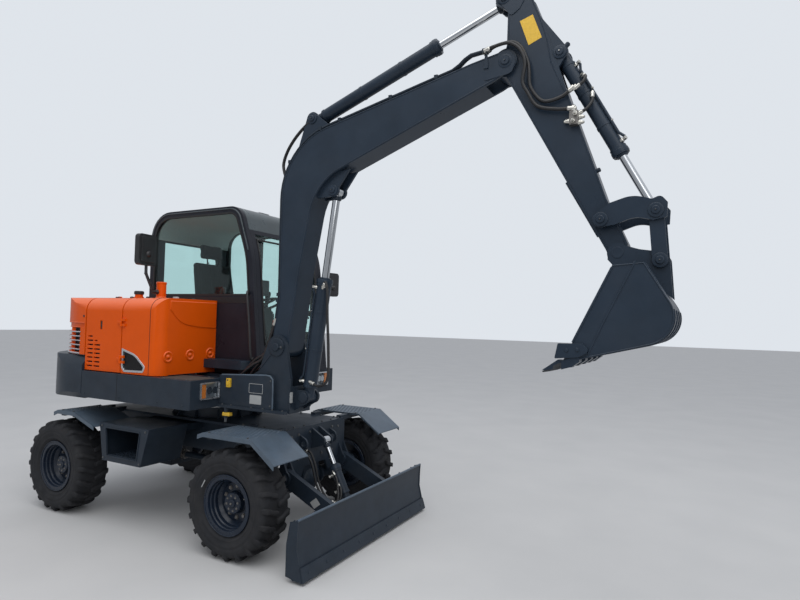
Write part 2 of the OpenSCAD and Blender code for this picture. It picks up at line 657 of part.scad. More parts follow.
// Ring of the hood's plan behind the line x, from the outer face inwards by d
module hood_ring(x, d) difference() {
    intersection() {
        polygon(tail_plan(hood_half_w, hood_r, hood_corner_r));
        translate([-2000, -1000]) square([2000 + x, 2000]);
    }
    polygon(tail_plan(hood_half_w - d, hood_r - d, hood_corner_r - d));
}
module engine_hood() color("#c8501a") {
    difference() {
        hood_form(0);
        hood_form(hood_t);
        translate([0, 0, hood_low_z - 50]) linear_extrude(grille_z - hood_low_z + 50)
            hood_ring(grille_x, hood_t + 40);
        translate([0, 0, grille_z - 1]) linear_extrude(visor_z - grille_z + 1) hood_ring(band_x, hood_t / 2);
    }
    // Slats, the frame under them and the posts behind them
    pitch = (grille_z - hood_low_z - slat_t) / slats;
    for (i = [0:slats - 1]) translate([0, 0, hood_low_z + i * pitch])
        linear_extrude(i == 0 ? 2 * slat_t : slat_t) hood_ring(grille_x + 12, slat_d);
    for (a = grille_posts) translate([0, 0, hood_low_z]) linear_extrude(grille_z - hood_low_z + 2) intersection() {
        difference() {
            polygon(tail_plan(hood_half_w - 8, hood_r - 8, hood_corner_r - 8));
            polygon(tail_plan(hood_half_w - slat_d + 2, hood_r - slat_d + 2, hood_corner_r - slat_d + 2));
        }
        rotate(a) translate([-2000, -15]) square([1700, 30]);
    }
    for (y = hood_hinge_y) difference() {
        union() {
            pin_y(hood_hinge, hinge_eye_r, y - 11.5, y + 20);
            block([hood_hinge[0] - 40, y - 11.5, hood_z - 3], [hood_hinge[0], y + 20, hood_z + 6]);
        }
        pin_y(hood_hinge, hinge_pin_r + fit, y - 60, y + 60);
    }
}

// Right side cover: front housing, top plate and inner walls of the side compartment
cover_front_x = 200;
vent_d = 16;
door_hinge_x = -270;
module cover_profile(in) polygon(rounded([[-hood_half_w + in, skirt_z + 5, 0],
    [-hood_half_w + in, hood_z - in, hood_edge_r], [cab_right_y - 6, hood_z - in, 0], [cab_right_y - 6, skirt_z + 5, 0]]));
// Triangular vent in the cover's side, with rounded corners
vent = [[-256, 1372, 0], [-222, 1334, 20], [26, 1340, 25], [48, 1392, 20], [-80, 1492, 200], [-256, 1536, 0]];
filler = [-289, -728];
module side_cover() color("#c8501a") {
    difference() {
        intersection() {
            slab_x(door_hinge_x + 6, cover_front_x) cover_profile(0);
            translate([0, 0, skirt_z]) linear_extrude(800) polygon(rounded([[door_hinge_x, -hood_half_w, 0],
                [cover_front_x, -hood_half_w, 100], [cover_front_x, cab_right_y, 0], [door_hinge_x, cab_right_y, 0]]));
        }
        slab(-hood_half_w - 5, -hood_half_w + vent_d) polygon(rounded(vent, 4));
    }
    // Top and inner wall of the compartment behind the door
    difference() {
        slab_x(hood_front_x + 8, door_hinge_x + 6) difference() {
            cover_profile(0);
            translate([-hood_half_w - 10, 0]) square([door_flange + 16, 3000]);
            translate([-hood_half_w, skirt_z - 10]) square([hood_half_w + cab_right_y - 26, hood_z - hood_t - skirt_z + 10]);
        }
        // Clear of the bulkhead below the top, and of the hood's hinges
        block([hood_front_x, -hood_half_w, skirt_z - 10], [bulkhead_x, 0, hood_z - hood_t]);
        for (y = hood_hinge_y) block([hood_front_x, y - 46, skirt_z], [bulkhead_x + 6, y + 26, hood_z + 10]);
    }
    translate([-155, -600, hood_z]) cylinder(r = 42, h = 150);
    // Filler neck and its cap
    translate([filler[0], filler[1], hood_z - 20]) {
        cylinder(r = 42, h = 32);
        cylinder(r = 34, h = 82);
    }
    for (z = side_hinge_z) {
        for (dz = [-34, 12]) translate([side_hinge[0], side_hinge[1], z + dz]) cylinder(r = hinge_eye_r, h = 22);
        translate([side_hinge[0], side_hinge[1], z - 34]) cylinder(r = hinge_pin_r, h = 68);
        block([door_hinge_x + 2, side_hinge[1] - 2, z - 34], [door_hinge_x + 50, -hood_half_w + 3, z - 12]);
        block([door_hinge_x + 2, side_hinge[1] - 2, z + 12], [door_hinge_x + 50, -hood_half_w + 3, z + 34]);
    }
}

// Side door: its wall and the shoulder above it, hinged at the front
door_flange = 90;
side_hinge = [door_hinge_x, -hood_half_w - 12];
side_hinge_z = [1440, 1760];
door_back_x = -765;
// Cooling slots as [first row, last row, x0, x1], and the middle of the latch's recess as [x, z]
slot_rows = [[0, 6, -742, -660], [0, 5, -644, -560], [6, 6, -644, -600], [7, 7, -735, -670]];
slot_z = 1354;
slot_h = 14;
slot_pitch = 38;
latch = [-556, 1731];
module side_door() color("#c8501a") {
    difference() {
        slab_x(door_back_x, door_hinge_x - 6) difference() {
            polygon(rounded([[-hood_half_w, skirt_z + 8, 0], [-hood_half_w, hood_z, hood_edge_r],
                [cab_right_y, hood_z, 0], [cab_right_y, skirt_z + 8, 0]]));
            polygon(rounded([[-hood_half_w + hood_t, skirt_z, 0],
                [-hood_half_w + hood_t, hood_z - hood_t, hood_edge_r - hood_t],
                [cab_right_y + 10, hood_z - hood_t, 0], [cab_right_y + 10, skirt_z, 0]]));
            translate([-hood_half_w + door_flange, 0]) square([2000, 3000]);
        }
        for (s = slot_rows, i = [s[0]:s[1]]) block([s[2], -hood_half_w - 5, slot_z + i * slot_pitch],
            [s[3], -hood_half_w + hood_t + 5, slot_z + i * slot_pitch + slot_h]);
        block([latch[0] - 15, -hood_half_w - 5, latch[1] - 41], [latch[0] + 15, -hood_half_w + 12, latch[1] + 41]);
    }
    for (z = side_hinge_z) difference() {
        union() {
            translate([side_hinge[0], side_hinge[1], z - 11.5]) cylinder(r = hinge_eye_r, h = 23);
            block([door_hinge_x - 50, side_hinge[1] - 2, z - 11.5], [door_hinge_x - 2, -hood_half_w + 3, z + 11.5]);
        }
        translate([side_hinge[0], side_hinge[1], z - 40]) cylinder(r = hinge_pin_r + fit, h = 80);
    }
}

// Cab: outline of its side, inset by a distance
function cab_rows(in) = [[-750 + in, floor_z + in, 0], [-750 + in, cab_z - in, 260 - in],
    [445 - in, cab_z - in, 170 - in], [600 - in, 2400, 900], [722 - in * 0.97, floor_z + in, 0]];
module cab_outline(in) polygon(rounded(cab_rows(in)));

// Front edge of the cab's side at a height, inset by a distance
function cab_front_at(z, in) = 722 - in - (z - floor_z) * (722 - 600) / (2400 - floor_z);

// Strip of the cab's shell between the side walls, within the given x and z
module cab_part(x0, x1, z0, z1) slab(cab_right_y + cab_t, cab_left_y - cab_t) intersection() {
    difference() {
        cab_outline(0);
        cab_outline(cab_t);
    }
    translate([x0, z0]) square([x1 - x0, z1 - z0]);
}
floor_t = cab_t;
module cab_floor() color("#2a2f35") cab_part(-760, 800, floor_z - 1, floor_z + floor_t);
module cab_rear() color("#2c3440") difference() {
    cab_part(-760, -500, floor_z + floor_t, 2640);
    block([-760, cab_right_y + 140, sill_z], [-690, cab_left_y - 140, 2600]);
}
module cab_roof() color("#2c3440") cab_part(-760, 800, 2640, cab_z + 1);
module cab_front() color("#2c3440") difference() {
    cab_part(300, 800, floor_z + floor_t, 2640);
    block([300, cab_right_y + 110, floor_z + 260], [800, cab_left_y - 110, 2600]);
}

// Window of the cab's side, the full height above the sill
module side_window(x0, x1) intersection() {
    cab_outline(55);
    translate([x0, sill_z]) square([x1 - x0, 1000]);
}
module cab_right() color("#2c3440") slab(cab_right_y, cab_right_y + cab_t) difference() {
    cab_outline(0);
    side_window(-750, 800);
}
// Door outline: behind it the rear quarter of the cab's left side
door_rear_x = -270;
module door_outline(in) polygon(rounded([[door_rear_x + in, floor_z + 50 + in, 40], [door_rear_x + in, 2790 - in, 60],
    [cab_front_at(2790, 80) - 40 - in, 2790 - in, 110], [cab_front_at(2400, 75) - in, 2400, 300],
    [cab_front_at(floor_z + 50, 70) - in, floor_z + 50 + in, 40]]));
// Pins of the cab door's hinges, as [x, y], and the heights of the hinges
cab_hinge = [door_rear_x - 5, cab_left_y + 15];
cab_hinge_z = [1500, 1980, 2600];
module cab_left() color("#2c3440") {
    slab(cab_left_y - cab_t, cab_left_y) difference() {
        cab_outline(0);
        side_window(-750, door_rear_x - 60);
        door_outline(0);
    }
    for (z = cab_hinge_z) {
        for (dz = [-42, 16]) translate([0, 0, z + dz]) {
            translate(cab_hinge) cylinder(r = hinge_eye_r, h = 26);
            block([cab_hinge[0] - 50, cab_left_y, 0], [cab_hinge[0], cab_hinge[1] + 4, 26]);
        }
        translate([cab_hinge[0], cab_hinge[1], z - 42]) cylinder(r = hinge_pin_r, h = 84);
    }
}
module cab_door() color("#2c3440") {
    slab(cab_left_y - cab_t, cab_left_y) difference() {
        door_outline(door_gap);
        door_window();
    }
    for (z = cab_hinge_z) difference() {
        union() {
            translate([cab_hinge[0], cab_hinge[1], z - 15.5]) cylinder(r = hinge_eye_r, h = 31);
            block([cab_hinge[0], cab_hinge[1] - 4, z - 15.5], [cab_hinge[0] + 22, cab_hinge[1] + 4, z + 15.5]);
            block([cab_hinge[0] + 14, cab_left_y, z - 15.5], [cab_hinge[0] + 60, cab_hinge[1] + 4, z + 15.5]);
        }
        translate([cab_hinge[0], cab_hinge[1], z - 60]) cylinder(r = hinge_pin_r + fit, h = 120);
    }
}
module door_window() intersection() {
    door_outline(60);
    translate([-800, sill_z - 350]) square([2000, 2000]);
}
module door_glass() color([0.5, 0.75, 0.75, 0.5])
    slab(cab_left_y - cab_t / 2 - glass_t, cab_left_y - cab_t / 2) door_window();
module cab_glass() color([0.5, 0.75, 0.75, 0.5]) {
    slab(cab_right_y + 10, cab_right_y + 10 + glass_t) side_window(-750, 800);
    slab(cab_left_y - cab_t + 10, cab_left_y - cab_t + 10 + glass_t) side_window(-750, door_rear_x - 60);
    block([-735, cab_right_y + 140, sill_z], [-735 + glass_t, cab_left_y - 140, 2600]);
    intersection() {
        slab(cab_right_y + 110, cab_left_y - 110) difference() {
            cab_outline(12);
            cab_outline(12 + glass_t);
        }
        block([300, cab_right_y + 110, floor_z + 260], [800, cab_left_y - 110, 2600]);
    }
}

// Seat: cushion, backrest and headrest
seat_y = (cab_right_y + cab_left_y) / 2;
module seat() color("#33363a") translate([-330, seat_y, 0]) {
    translate([0, 250, 0]) rotate([90, 0, 0]) linear_extrude(500) polygon(rounded([[460, 1700, 50],
        [460, 1830, 50], [60, 1820, 20], [-60, 2420, 40], [-170, 2420, 40], [-80, 1700, 40]]));
    translate([0, 140, 0]) rotate([90, 0, 0]) linear_extrude(280) polygon(rounded([[-70, 2420, 0], [-90, 2600, 40],
        [-180, 2600, 40], [-160, 2420, 0]]));
}

// Seat stand, side consoles with levers, steering column and wheel
console_y = 325;
module controls() color("#202327") {
    z0 = floor_z + floor_t;
    block([-360, seat_y - 210, z0], [80, seat_y + 210, 1700]);
    for (s = [-1, 1]) {
        block([-330, seat_y + s * console_y - 60, z0], [110, seat_y + s * console_y + 60, 1880]);
        translate([60, seat_y + s * console_y, 1870]) cylinder(r = 12, h = 130);
        translate([60, seat_y + s * console_y, 1990]) cylinder(r = 24, h = 110);
    }
    block([370, seat_y - 70, z0], [470, seat_y + 70, z0 + 22]);
    translate([420, seat_y, z0 + 12]) rotate([0, -12, 0]) {
        translate([-45, -60, 0]) cube([90, 120, 560]);
        translate([0, 0, 560]) cylinder(r = 30, h = 50);
        translate([0, 0, 600]) rotate([0, -10, 0]) {
            rotate_extrude() translate([175, 0]) circle(r = 13, $fn = 16);
            for (a = [0, 120, 240]) rotate([0, 0, a]) translate([0, -14, -8]) cube([175, 28, 14]);
            translate([0, 0, -20]) cylinder(r = 40, h = 32);
        }
    }
    for (y = [-70, 70]) block([455, seat_y + y - 40, z0], [560, seat_y + y + 40, z0 + 40]);
}

// Mirrors on their stalks
module mirrors() color("#1b1d20") {
    mirror_head([-165, -770, 2270], 210, 275, 8);
    stalk([[-155, -642, hood_z + 60], [-155, -690, hood_z + 60], [-162, -765, 2200], [-164, -765, 2290]], 13);
    // Left mirror, on the cab's front pillar
    mirror_head([660, 915, 2080], 180, 250, -8);
    x0 = cab_front_at(2200, cab_t / 2);
    stalk([[x0, cab_left_y, 2200], [x0, cab_left_y + 60, 2200], [655, 900, 2180]], 12);
}
// Rounded mirror housing standing on its lower middle
module mirror_head(at, w, h, turn) translate(at) rotate([0, 0, turn]) slab_x(-22, 22)
    polygon(rounded([[-w / 2, 0, 35], [w / 2, 0, 35], [w / 2, h, 35], [-w / 2, h, 35]]));

// Round bar through points, with a slightly larger ball at each bend
module stalk(points, r) for (i = [0:len(points) - 2]) {
    d = points[i + 1] - points[i];
    translate(points[i]) rotate([0, acos(d[2] / norm(d)), atan2(d[1], d[0])]) cylinder(r = r, h = norm(d));
    if (i > 0) translate(points[i]) sphere(r = r * 1.15);
}

module lamps() color("#d8dadc") {
    block([600, -820, 1155], [630, -620, 1285]);
    block([700, 640, 1155], [715, 820, 1285]);
    block([235, 180, cab_z], [265, 340, cab_z + 28]);
}

// Boom: gooseneck box with ears for both cylinders and a forked tip
module boom_outline() {
    disc(boom_foot, 88);
    polygon(rounded([[1105, 1580, 0], [1168, 2000, 300], [1155, 3242, 545], [2790, 3618, 200], [3060, 3668, 30],
        [3060, 3520, 30], [2960, 3468, 60], [1493, 2907, 436], [1363, 2220, 800], [1278, 1600, 0]]));
}
module boom() color("#27303c") difference() {
    union() {
        slab(boom_y - boom_w / 2, boom_y + boom_w / 2) {
            boom_outline();
            disc(boom_tip, 78);
        }
        // Ears of the boom cylinder's eye
        pair(boom_y, eye_half_w + eye_gap, eye_half_w + eye_gap + lug_t) {
            disc(boom_cyl_eye, 52);
            polygon([[1480, 2790], polar(boom_cyl_eye, 52, -110), polar(boom_cyl_eye, 52, 20), [1790, 3000],
                [1500, 2960]]);
        }
        // Ears and pin of the arm cylinder's foot
        pair(boom_y, foot_half_w + eye_gap, foot_half_w + eye_gap + lug_t) {
            disc(arm_cyl_foot, 55);
            polygon([[1250, 3080], polar(arm_cyl_foot, 55, 170), polar(arm_cyl_foot, 55, 20), [1640, 3330], [1500, 3200]]);
        }
        pin_y(arm_cyl_foot, link_pin_r, boom_y - foot_half_w - eye_gap - lug_t, boom_y + foot_half_w + eye_gap + lug_t);
        pin_y(boom_tip, tip_pin_r, boom_y - boom_w / 2 - 8, boom_y + boom_w / 2 + 8);
    }
    pin_y(boom_foot, foot_pin_r + fit, boom_y - boom_w, boom_y + boom_w);
    // Room for the boom cylinder's eye between its ears, as far as it drifts
    slab(boom_y - eye_half_w - eye_gap, boom_y + eye_half_w + eye_gap) disc(boom_cyl_eye, 138);
    // Fork at the tip, open for the arm
    difference() {
        slab(boom_y - ear_in, boom_y + ear_in) disc(boom_tip, 200);
        pin_y(boom_tip, tip_pin_r, boom_y - boom_w, boom_y + boom_w);
    }
}

// Arm, with ears at its top for the arm cylinder's eye and at its back for the bucket cylinder
module arm_outline() {
    polygon(rounded([[2950, 4010, 0], [2965, 4095, 50], [3080, 4120, 60], [3190, 4030, 60], [3262, 3850, 250],
        [3320, 3700, 0], [3370, 3534, 0], [3458, 3264, 0], [3684, 2616, 0], [3812, 2330, 40], [3790, 2222, 0],
        [3722, 2212, 0], [3686, 2297, 0], [3075, 3414, 60], [3000, 3560, 0], [3035, 3708, 40], [3038, 3940, 0]]));
    disc(boom_tip, 98);
    disc(arm_cyl_eye, 60);
    disc(bucket_pin, 64);
}
module arm() color("#27303c") {
    difference() {
        union() {
            slab(boom_y - arm_w / 2, boom_y + arm_w / 2) arm_outline();
            pair(boom_y, foot_half_w + eye_gap, foot_half_w + eye_gap + lug_t) {
                disc(bucket_cyl_foot, 52);
                polygon([[3262, 3850], polar(bucket_cyl_foot, 52, 50), polar(bucket_cyl_foot, 52, -60), [3375, 3480],
                    [3300, 3650]]);
            }
        }
        // Room for the rod's eye between the side plates at the top
        slab(boom_y - arm_w / 2 + 25, boom_y + arm_w / 2 - 25) polygon([[2800, 3930], [3290, 3960], [3290, 4300],
            [2800, 4300]]);
        // Room for the bucket cylinder's foot, around its pin
        slab(boom_y - foot_half_w - eye_gap, boom_y + foot_half_w + eye_gap) {
            disc(bucket_cyl_foot, 62);
            bar(bucket_cyl_foot, bucket_cyl_foot + unit(rocker_tip - bucket_cyl_foot) * 260, 150);
        }
        pin_y(boom_tip, tip_pin_r + fit, boom_y - arm_w, boom_y + arm_w);
        pin_y(rocker_pin, link_pin_r + fit, boom_y - arm_w, boom_y + arm_w);
        pin_y(bucket_pin, link_pin_r + fit, boom_y - arm_w, boom_y + arm_w);
    }
    pin_y(bucket_cyl_foot, link_pin_r, boom_y - foot_half_w - eye_gap - lug_t, boom_y + foot_half_w + eye_gap + lug_t);
}

// Rocker: two curved plates on one pin through the arm
module rocker() color("#27303c") {
    pair(boom_y, rocker_in, rocker_in + rocker_t) {
        disc(rocker_pin, 48);
        disc(rocker_tip, 52);
        polygon(rounded([rocker_pin_row(-30, 38), [3715, 2573, 0], [3840, 2612, 200], [3948, 2580, 0], [3995, 2600, 30],
            [4032, 2555, 0], [4028, 2470, 0], [3954, 2455, 0], [3860, 2482, 200], [3745, 2440, 0], rocker_pin_row(20, -44)]));
    }
    pin_y(rocker_pin, link_pin_r, boom_y - rocker_in - rocker_t, boom_y + rocker_in + rocker_t);
}
function rocker_pin_row(dx, dz) = [rocker_pin[0] + dx, rocker_pin[1] + dz, 0];

// Link: two straight plates on the bucket's pin
module bucket_link() color("#27303c") {
    pair(boom_y, link_in, link_in + link_t) {
        disc(rocker_tip, 44);
        disc(bucket_link_pin, 46);
        bar(rocker_tip, bucket_link_pin, 84);
    }
    pin_y(bucket_link_pin, link_pin_r, boom_y - link_in - link_t, boom_y + link_in + link_t);
}

// Bucket: shell outline from the top's front edge round the back to the lip
lip = [3500, 1612];
top_front = [3769, 2171];
top_rear = [3937, 2184];
function bucket_back(in) = concat([top_rear + [-in * 0.8, -in * 0.6]],
    arc(bucket_back_c, bucket_back_r - in, 30, -75, 12));
module bucket() color("#222932") difference() {
    union() {
        outer = concat([top_front], bucket_back(0), [lip]);
        slab(boom_y - bucket_w / 2 + shell_t, boom_y + bucket_w / 2 - shell_t) difference() {
            polygon(outer);
            polygon(concat([top_front + [6, -shell_t], [3500, 2171]], [lip + [-20, shell_t]], [lip + [0, shell_t]],
                [for (i = [len(bucket_back(0)) - 1:-1:0]) bucket_back(shell_t)[i]]));
        }
        pair(boom_y, bucket_w / 2 - shell_t, bucket_w / 2) polygon(outer);
        // Ears
        pair(boom_y, ear_in, ear_in + ear_t) {
            disc(bucket_pin, 60);
            disc(bucket_link_pin, 52);
            polygon(rounded([[3700, 2255, 0], [3790, 2320, 0], [3880, 2292, 100], [3992, 2275, 0], [4044, 2223, 0],
                [4060, 2000, 0], [3990, 2060, 0], [3930, 2175, 0], [3765, 2160, 0], [3700, 2235, 0]]));
        }
        pin_y(bucket_pin, link_pin_r, boom_y - ear_in - ear_t, boom_y + ear_in + ear_t);
        // Teeth along the lip
        for (i = [0:teeth - 1]) {
            y = boom_y - bucket_w / 2 + tooth_w / 2 + i * (bucket_w - tooth_w) / (teeth - 1);
            slab(y - tooth_w / 2, y + tooth_w / 2) polygon([lip + [60, 18], lip + [60, -18], lip + [-20, -30],
                [3385, 1566], lip + [-20, 22]]);
        }
    }
    pin_y(bucket_link_pin, link_pin_r + fit, boom_y - 200, boom_y + 200);
}

place() chassis_frame();
place() tie_downs();
place() slew_ring();
place() front_axle();
place() rear_axle();
place() drive_shaft();
place() fenders();
place() side_boxes();
place() knuckle();  // knuckle_left
place() mirror([0, 1, 0]) knuckle();  // knuckle_right
place() steering_rod();
place() on_axle(front_axle_x, 1) color("#2c2b2a") tyre();  // tyre_front_left
place() on_axle(front_axle_x, -1) color("#2c2b2a") tyre();  // tyre_front_right
place() on_axle(rear_axle_x, 1) color("#2c2b2a") tyre();  // tyre_rear_left
place() on_axle(rear_axle_x, -1) color("#2c2b2a") tyre();  // tyre_rear_right
place() on_axle(front_axle_x, 1) color("#1d222b") rim();  // rim_front_left
place() on_axle(front_axle_x, -1) color("#1d222b") rim();  // rim_front_right
place() on_axle(rear_axle_x, 1) color("#1d222b") rim();  // rim_rear_left
place() on_axle(rear_axle_x, -1) color("#1d222b") rim();  // rim_rear_right
place() blade();
place() blade_barrel();
place() blade_rod();
place() upper_frame();
place() skirts();
place() counterweight();
place() engine();
place() engine_hood();
place() side_cover();
place() side_door();
place() cab_floor();
place() cab_right();
place() cab_left();
place() cab_rear();
place() cab_front();
place() cab_roof();
place() cab_glass();
place() cab_door();
place() door_glass();
place() seat();
place() controls();
place() mirrors();
place() lamps();
place() boom();
place() boom_barrel();
place() boom_rod();
place() arm();
place() arm_barrel();
place() arm_rod();
place() rocker();
place() bucket_link();
place() bucket();
place() bucket_barrel();
place() bucket_rod();
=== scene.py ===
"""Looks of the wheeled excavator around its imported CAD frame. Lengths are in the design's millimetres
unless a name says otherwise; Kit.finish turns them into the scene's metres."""

import math

import bmesh
import bpy
from mathutils import Matrix, Vector


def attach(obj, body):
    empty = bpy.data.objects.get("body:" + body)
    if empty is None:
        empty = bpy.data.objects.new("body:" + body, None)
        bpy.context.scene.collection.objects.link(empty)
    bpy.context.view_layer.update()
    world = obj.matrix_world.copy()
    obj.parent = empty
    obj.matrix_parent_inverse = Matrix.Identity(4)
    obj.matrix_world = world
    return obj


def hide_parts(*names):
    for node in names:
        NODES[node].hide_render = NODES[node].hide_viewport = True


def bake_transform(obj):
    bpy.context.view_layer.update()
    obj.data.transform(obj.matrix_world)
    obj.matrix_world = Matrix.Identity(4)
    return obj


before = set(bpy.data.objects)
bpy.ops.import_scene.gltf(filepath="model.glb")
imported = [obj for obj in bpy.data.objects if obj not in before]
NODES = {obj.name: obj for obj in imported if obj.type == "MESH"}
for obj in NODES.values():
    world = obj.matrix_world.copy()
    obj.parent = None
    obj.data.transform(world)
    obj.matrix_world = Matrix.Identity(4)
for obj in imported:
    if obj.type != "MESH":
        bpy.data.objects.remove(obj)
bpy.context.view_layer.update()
SHIFT_X = -1216.5
X, Y, Z = Vector((1, 0, 0)), Vector((0, 1, 0)), Vector((0, 0, 1))
SIDES = (-1, 1)

# Sizes and places of the frame that the details are set against; pins are (x, z)
FRONT_X, REAR_X = 1050, -1090
WHEEL_Y, KINGPIN_Y = 804, 640
AXLE_Z = TYRE_R = 415
DECK_Z = 905
SHAFT_Z = 435
UPPER_TOP, ROOF_TOP = 1315, 2860
SKIRT_Y = 925
# Half width, radius of the back and radius of the corners of the tail's plan
TAIL_HALF, TAIL_R, TAIL_CORNER = 880, 1560, 760
BOOM_Y, SEAT_Y = -440, 260
BOOM_HALF, ARM_HALF, BUCKET_HALF, BLADE_HALF = 100, 75, 400, 958
BOOM_FOOT, BOOM_TIP = (1190, 1600), (3035, 3588)
BOOM_CYL_FOOT, BOOM_CYL_EYE = (1420, 1210), (1640, 2845)
ARM_CYL_FOOT, ARM_CYL_EYE = (1425, 3440), (3010, 4035)
BUCKET_CYL_FOOT, ROCKER_TIP = (3388, 3590), (3969, 2513)
ROCKER_PIN, LINK_PIN, BUCKET_PIN = (3662, 2476), (3992, 2223), (3756, 2277)
BLADE_PIN, BLADE_CYL_FOOT, BLADE_CYL_EYE = (1200, 530), (1540, 280), (1280, 776)


def link_in(obj):
    bpy.context.scene.collection.objects.link(obj)
    return obj


# Camera, light and floor, in metres


def make_camera():
    yaw, pitch, roll = (math.radians(a) for a in (28.2222, 2.1439, 1.446))
    forward = Vector((-math.sin(yaw) * math.cos(pitch), math.cos(yaw) * math.cos(pitch), math.sin(pitch)))
    level = Vector((math.cos(yaw), math.sin(yaw), 0))
    upright = level.cross(forward)
    right = math.cos(roll) * level + math.sin(roll) * upright
    up = -math.sin(roll) * level + math.cos(roll) * upright
    data = bpy.data.cameras.new("camera")
    data.sensor_width = 36
    data.lens = 26.027
    data.clip_end = 200
    cam = link_in(bpy.data.objects.new("camera", data))
    turn = Matrix((right, up, -forward)).transposed().to_4x4()
    cam.matrix_world = Matrix.Translation((3.0321, -4.2074, 1.8283)) @ turn
    bpy.context.scene.camera = cam


def feed(tree, node, **inputs):
    """Set the node's inputs, or link them where a socket is given. A key such as _1 is a socket's number."""
    for key, value in inputs.items():
        socket = node.inputs[int(key[1:]) if key[0] == "_" else key.replace("_", " ")]
        if isinstance(value, bpy.types.NodeSocket):
            tree.links.new(value, socket)
        else:
            socket.default_value = value
    return node


def node_of(tree, kind, mode=None, **inputs):
    node = tree.nodes.new("ShaderNode" + kind)
    if mode:
        setattr(node, "data_type" if kind == "Mix" else "operation", mode)
    return feed(tree, node, **inputs)


def ramp_of(tree, factor, low, high, ends=(0.0, 1.0)):
    ramp = node_of(tree, "ValToRGB", Fac=factor)
    for stop, place, colour in zip(ramp.color_ramp.elements, ends, (low, high)):
        stop.position, stop.color = place, (*colour, 1)
    return ramp


def laid_over(tree, factor, shade, colour):
    return node_of(tree, "Mix", "RGBA", Factor=factor, A=shade, B=(*colour, 1)).outputs["Result"]


def make_world():
    world = bpy.data.worlds.new("sky")
    world.use_nodes = True
    bpy.context.scene.world = world
    tree = world.node_tree
    tree.nodes.clear()
    coords = node_of(tree, "TexCoord")
    split = node_of(tree, "SeparateXYZ", _0=coords.outputs["Generated"])
    ramp = ramp_of(tree, split.outputs["Z"], (0.50, 0.52, 0.55), (0.95, 0.99, 1.06), (0.0, 0.75))
    ramp.color_ramp.elements.new(0.18).color = (0.62, 0.65, 0.70, 1)
    lit = node_of(tree, "Background", Color=ramp.outputs["Color"], Strength=0.78)
    shown = node_of(tree, "Background", Color=(0.74, 0.78, 0.83, 1), Strength=1.0)
    rays = node_of(tree, "LightPath").outputs
    seen = node_of(tree, "Math", "MAXIMUM", _0=rays["Is Camera Ray"], _1=rays["Is Transmission Ray"])
    mix = node_of(tree, "MixShader", _0=seen.outputs[0], _1=lit.outputs[0], _2=shown.outputs[0])
    node_of(tree, "OutputWorld", Surface=mix.outputs[0])


def make_lamp(name, place, target, size, power, colour=(1, 1, 1)):
    data = bpy.data.lights.new(name, "AREA")
    data.size = size
    data.energy = power
    data.color = colour
    lamp = link_in(bpy.data.objects.new(name, data))
    lamp.location = place
    lamp.rotation_mode = "QUATERNION"
    lamp.rotation_quaternion = (Vector(target) - Vector(place)).to_track_quat("-Z", "Y")


def make_floor(reach):
    mesh = bpy.data.meshes.new("floor")
    corners = [(-reach, -reach, 0), (reach, -reach, 0), (reach, reach, 0), (-reach, reach, 0)]
    mesh.from_pydata(corners, [], [(0, 1, 2, 3)])
    floor = link_in(bpy.data.objects.new("floor", mesh))
    mat = bpy.data.materials.new("floor")
    mat.use_nodes = True
    tree = mat.node_tree
    coords = node_of(tree, "TexCoord")
    noise = node_of(tree, "TexNoise", Vector=coords.outputs["Object"], Scale=1.3, Detail=8.0)
    ramp = ramp_of(tree, noise.outputs["Fac"], (0.50, 0.50, 0.50), (0.58, 0.575, 0.57))
    bsdf = tree.nodes["Principled BSDF"]
    feed(tree, bsdf, Base_Color=ramp.outputs["Color"], Roughness=0.9, Specular_IOR_Level=0.2)
    mesh.materials.append(mat)


make_camera()
make_world()
make_floor(60.0)
make_lamp("sky_lamp", (1.5, -3.0, 9.0), (0.0, 0.0, 1.0), 9.0, 420, (1.0, 0.99, 0.97))
make_lamp("side_lamp", (7.0, -7.0, 5.0), (0.0, 0.0, 1.2), 5.0, 130)


# Materials


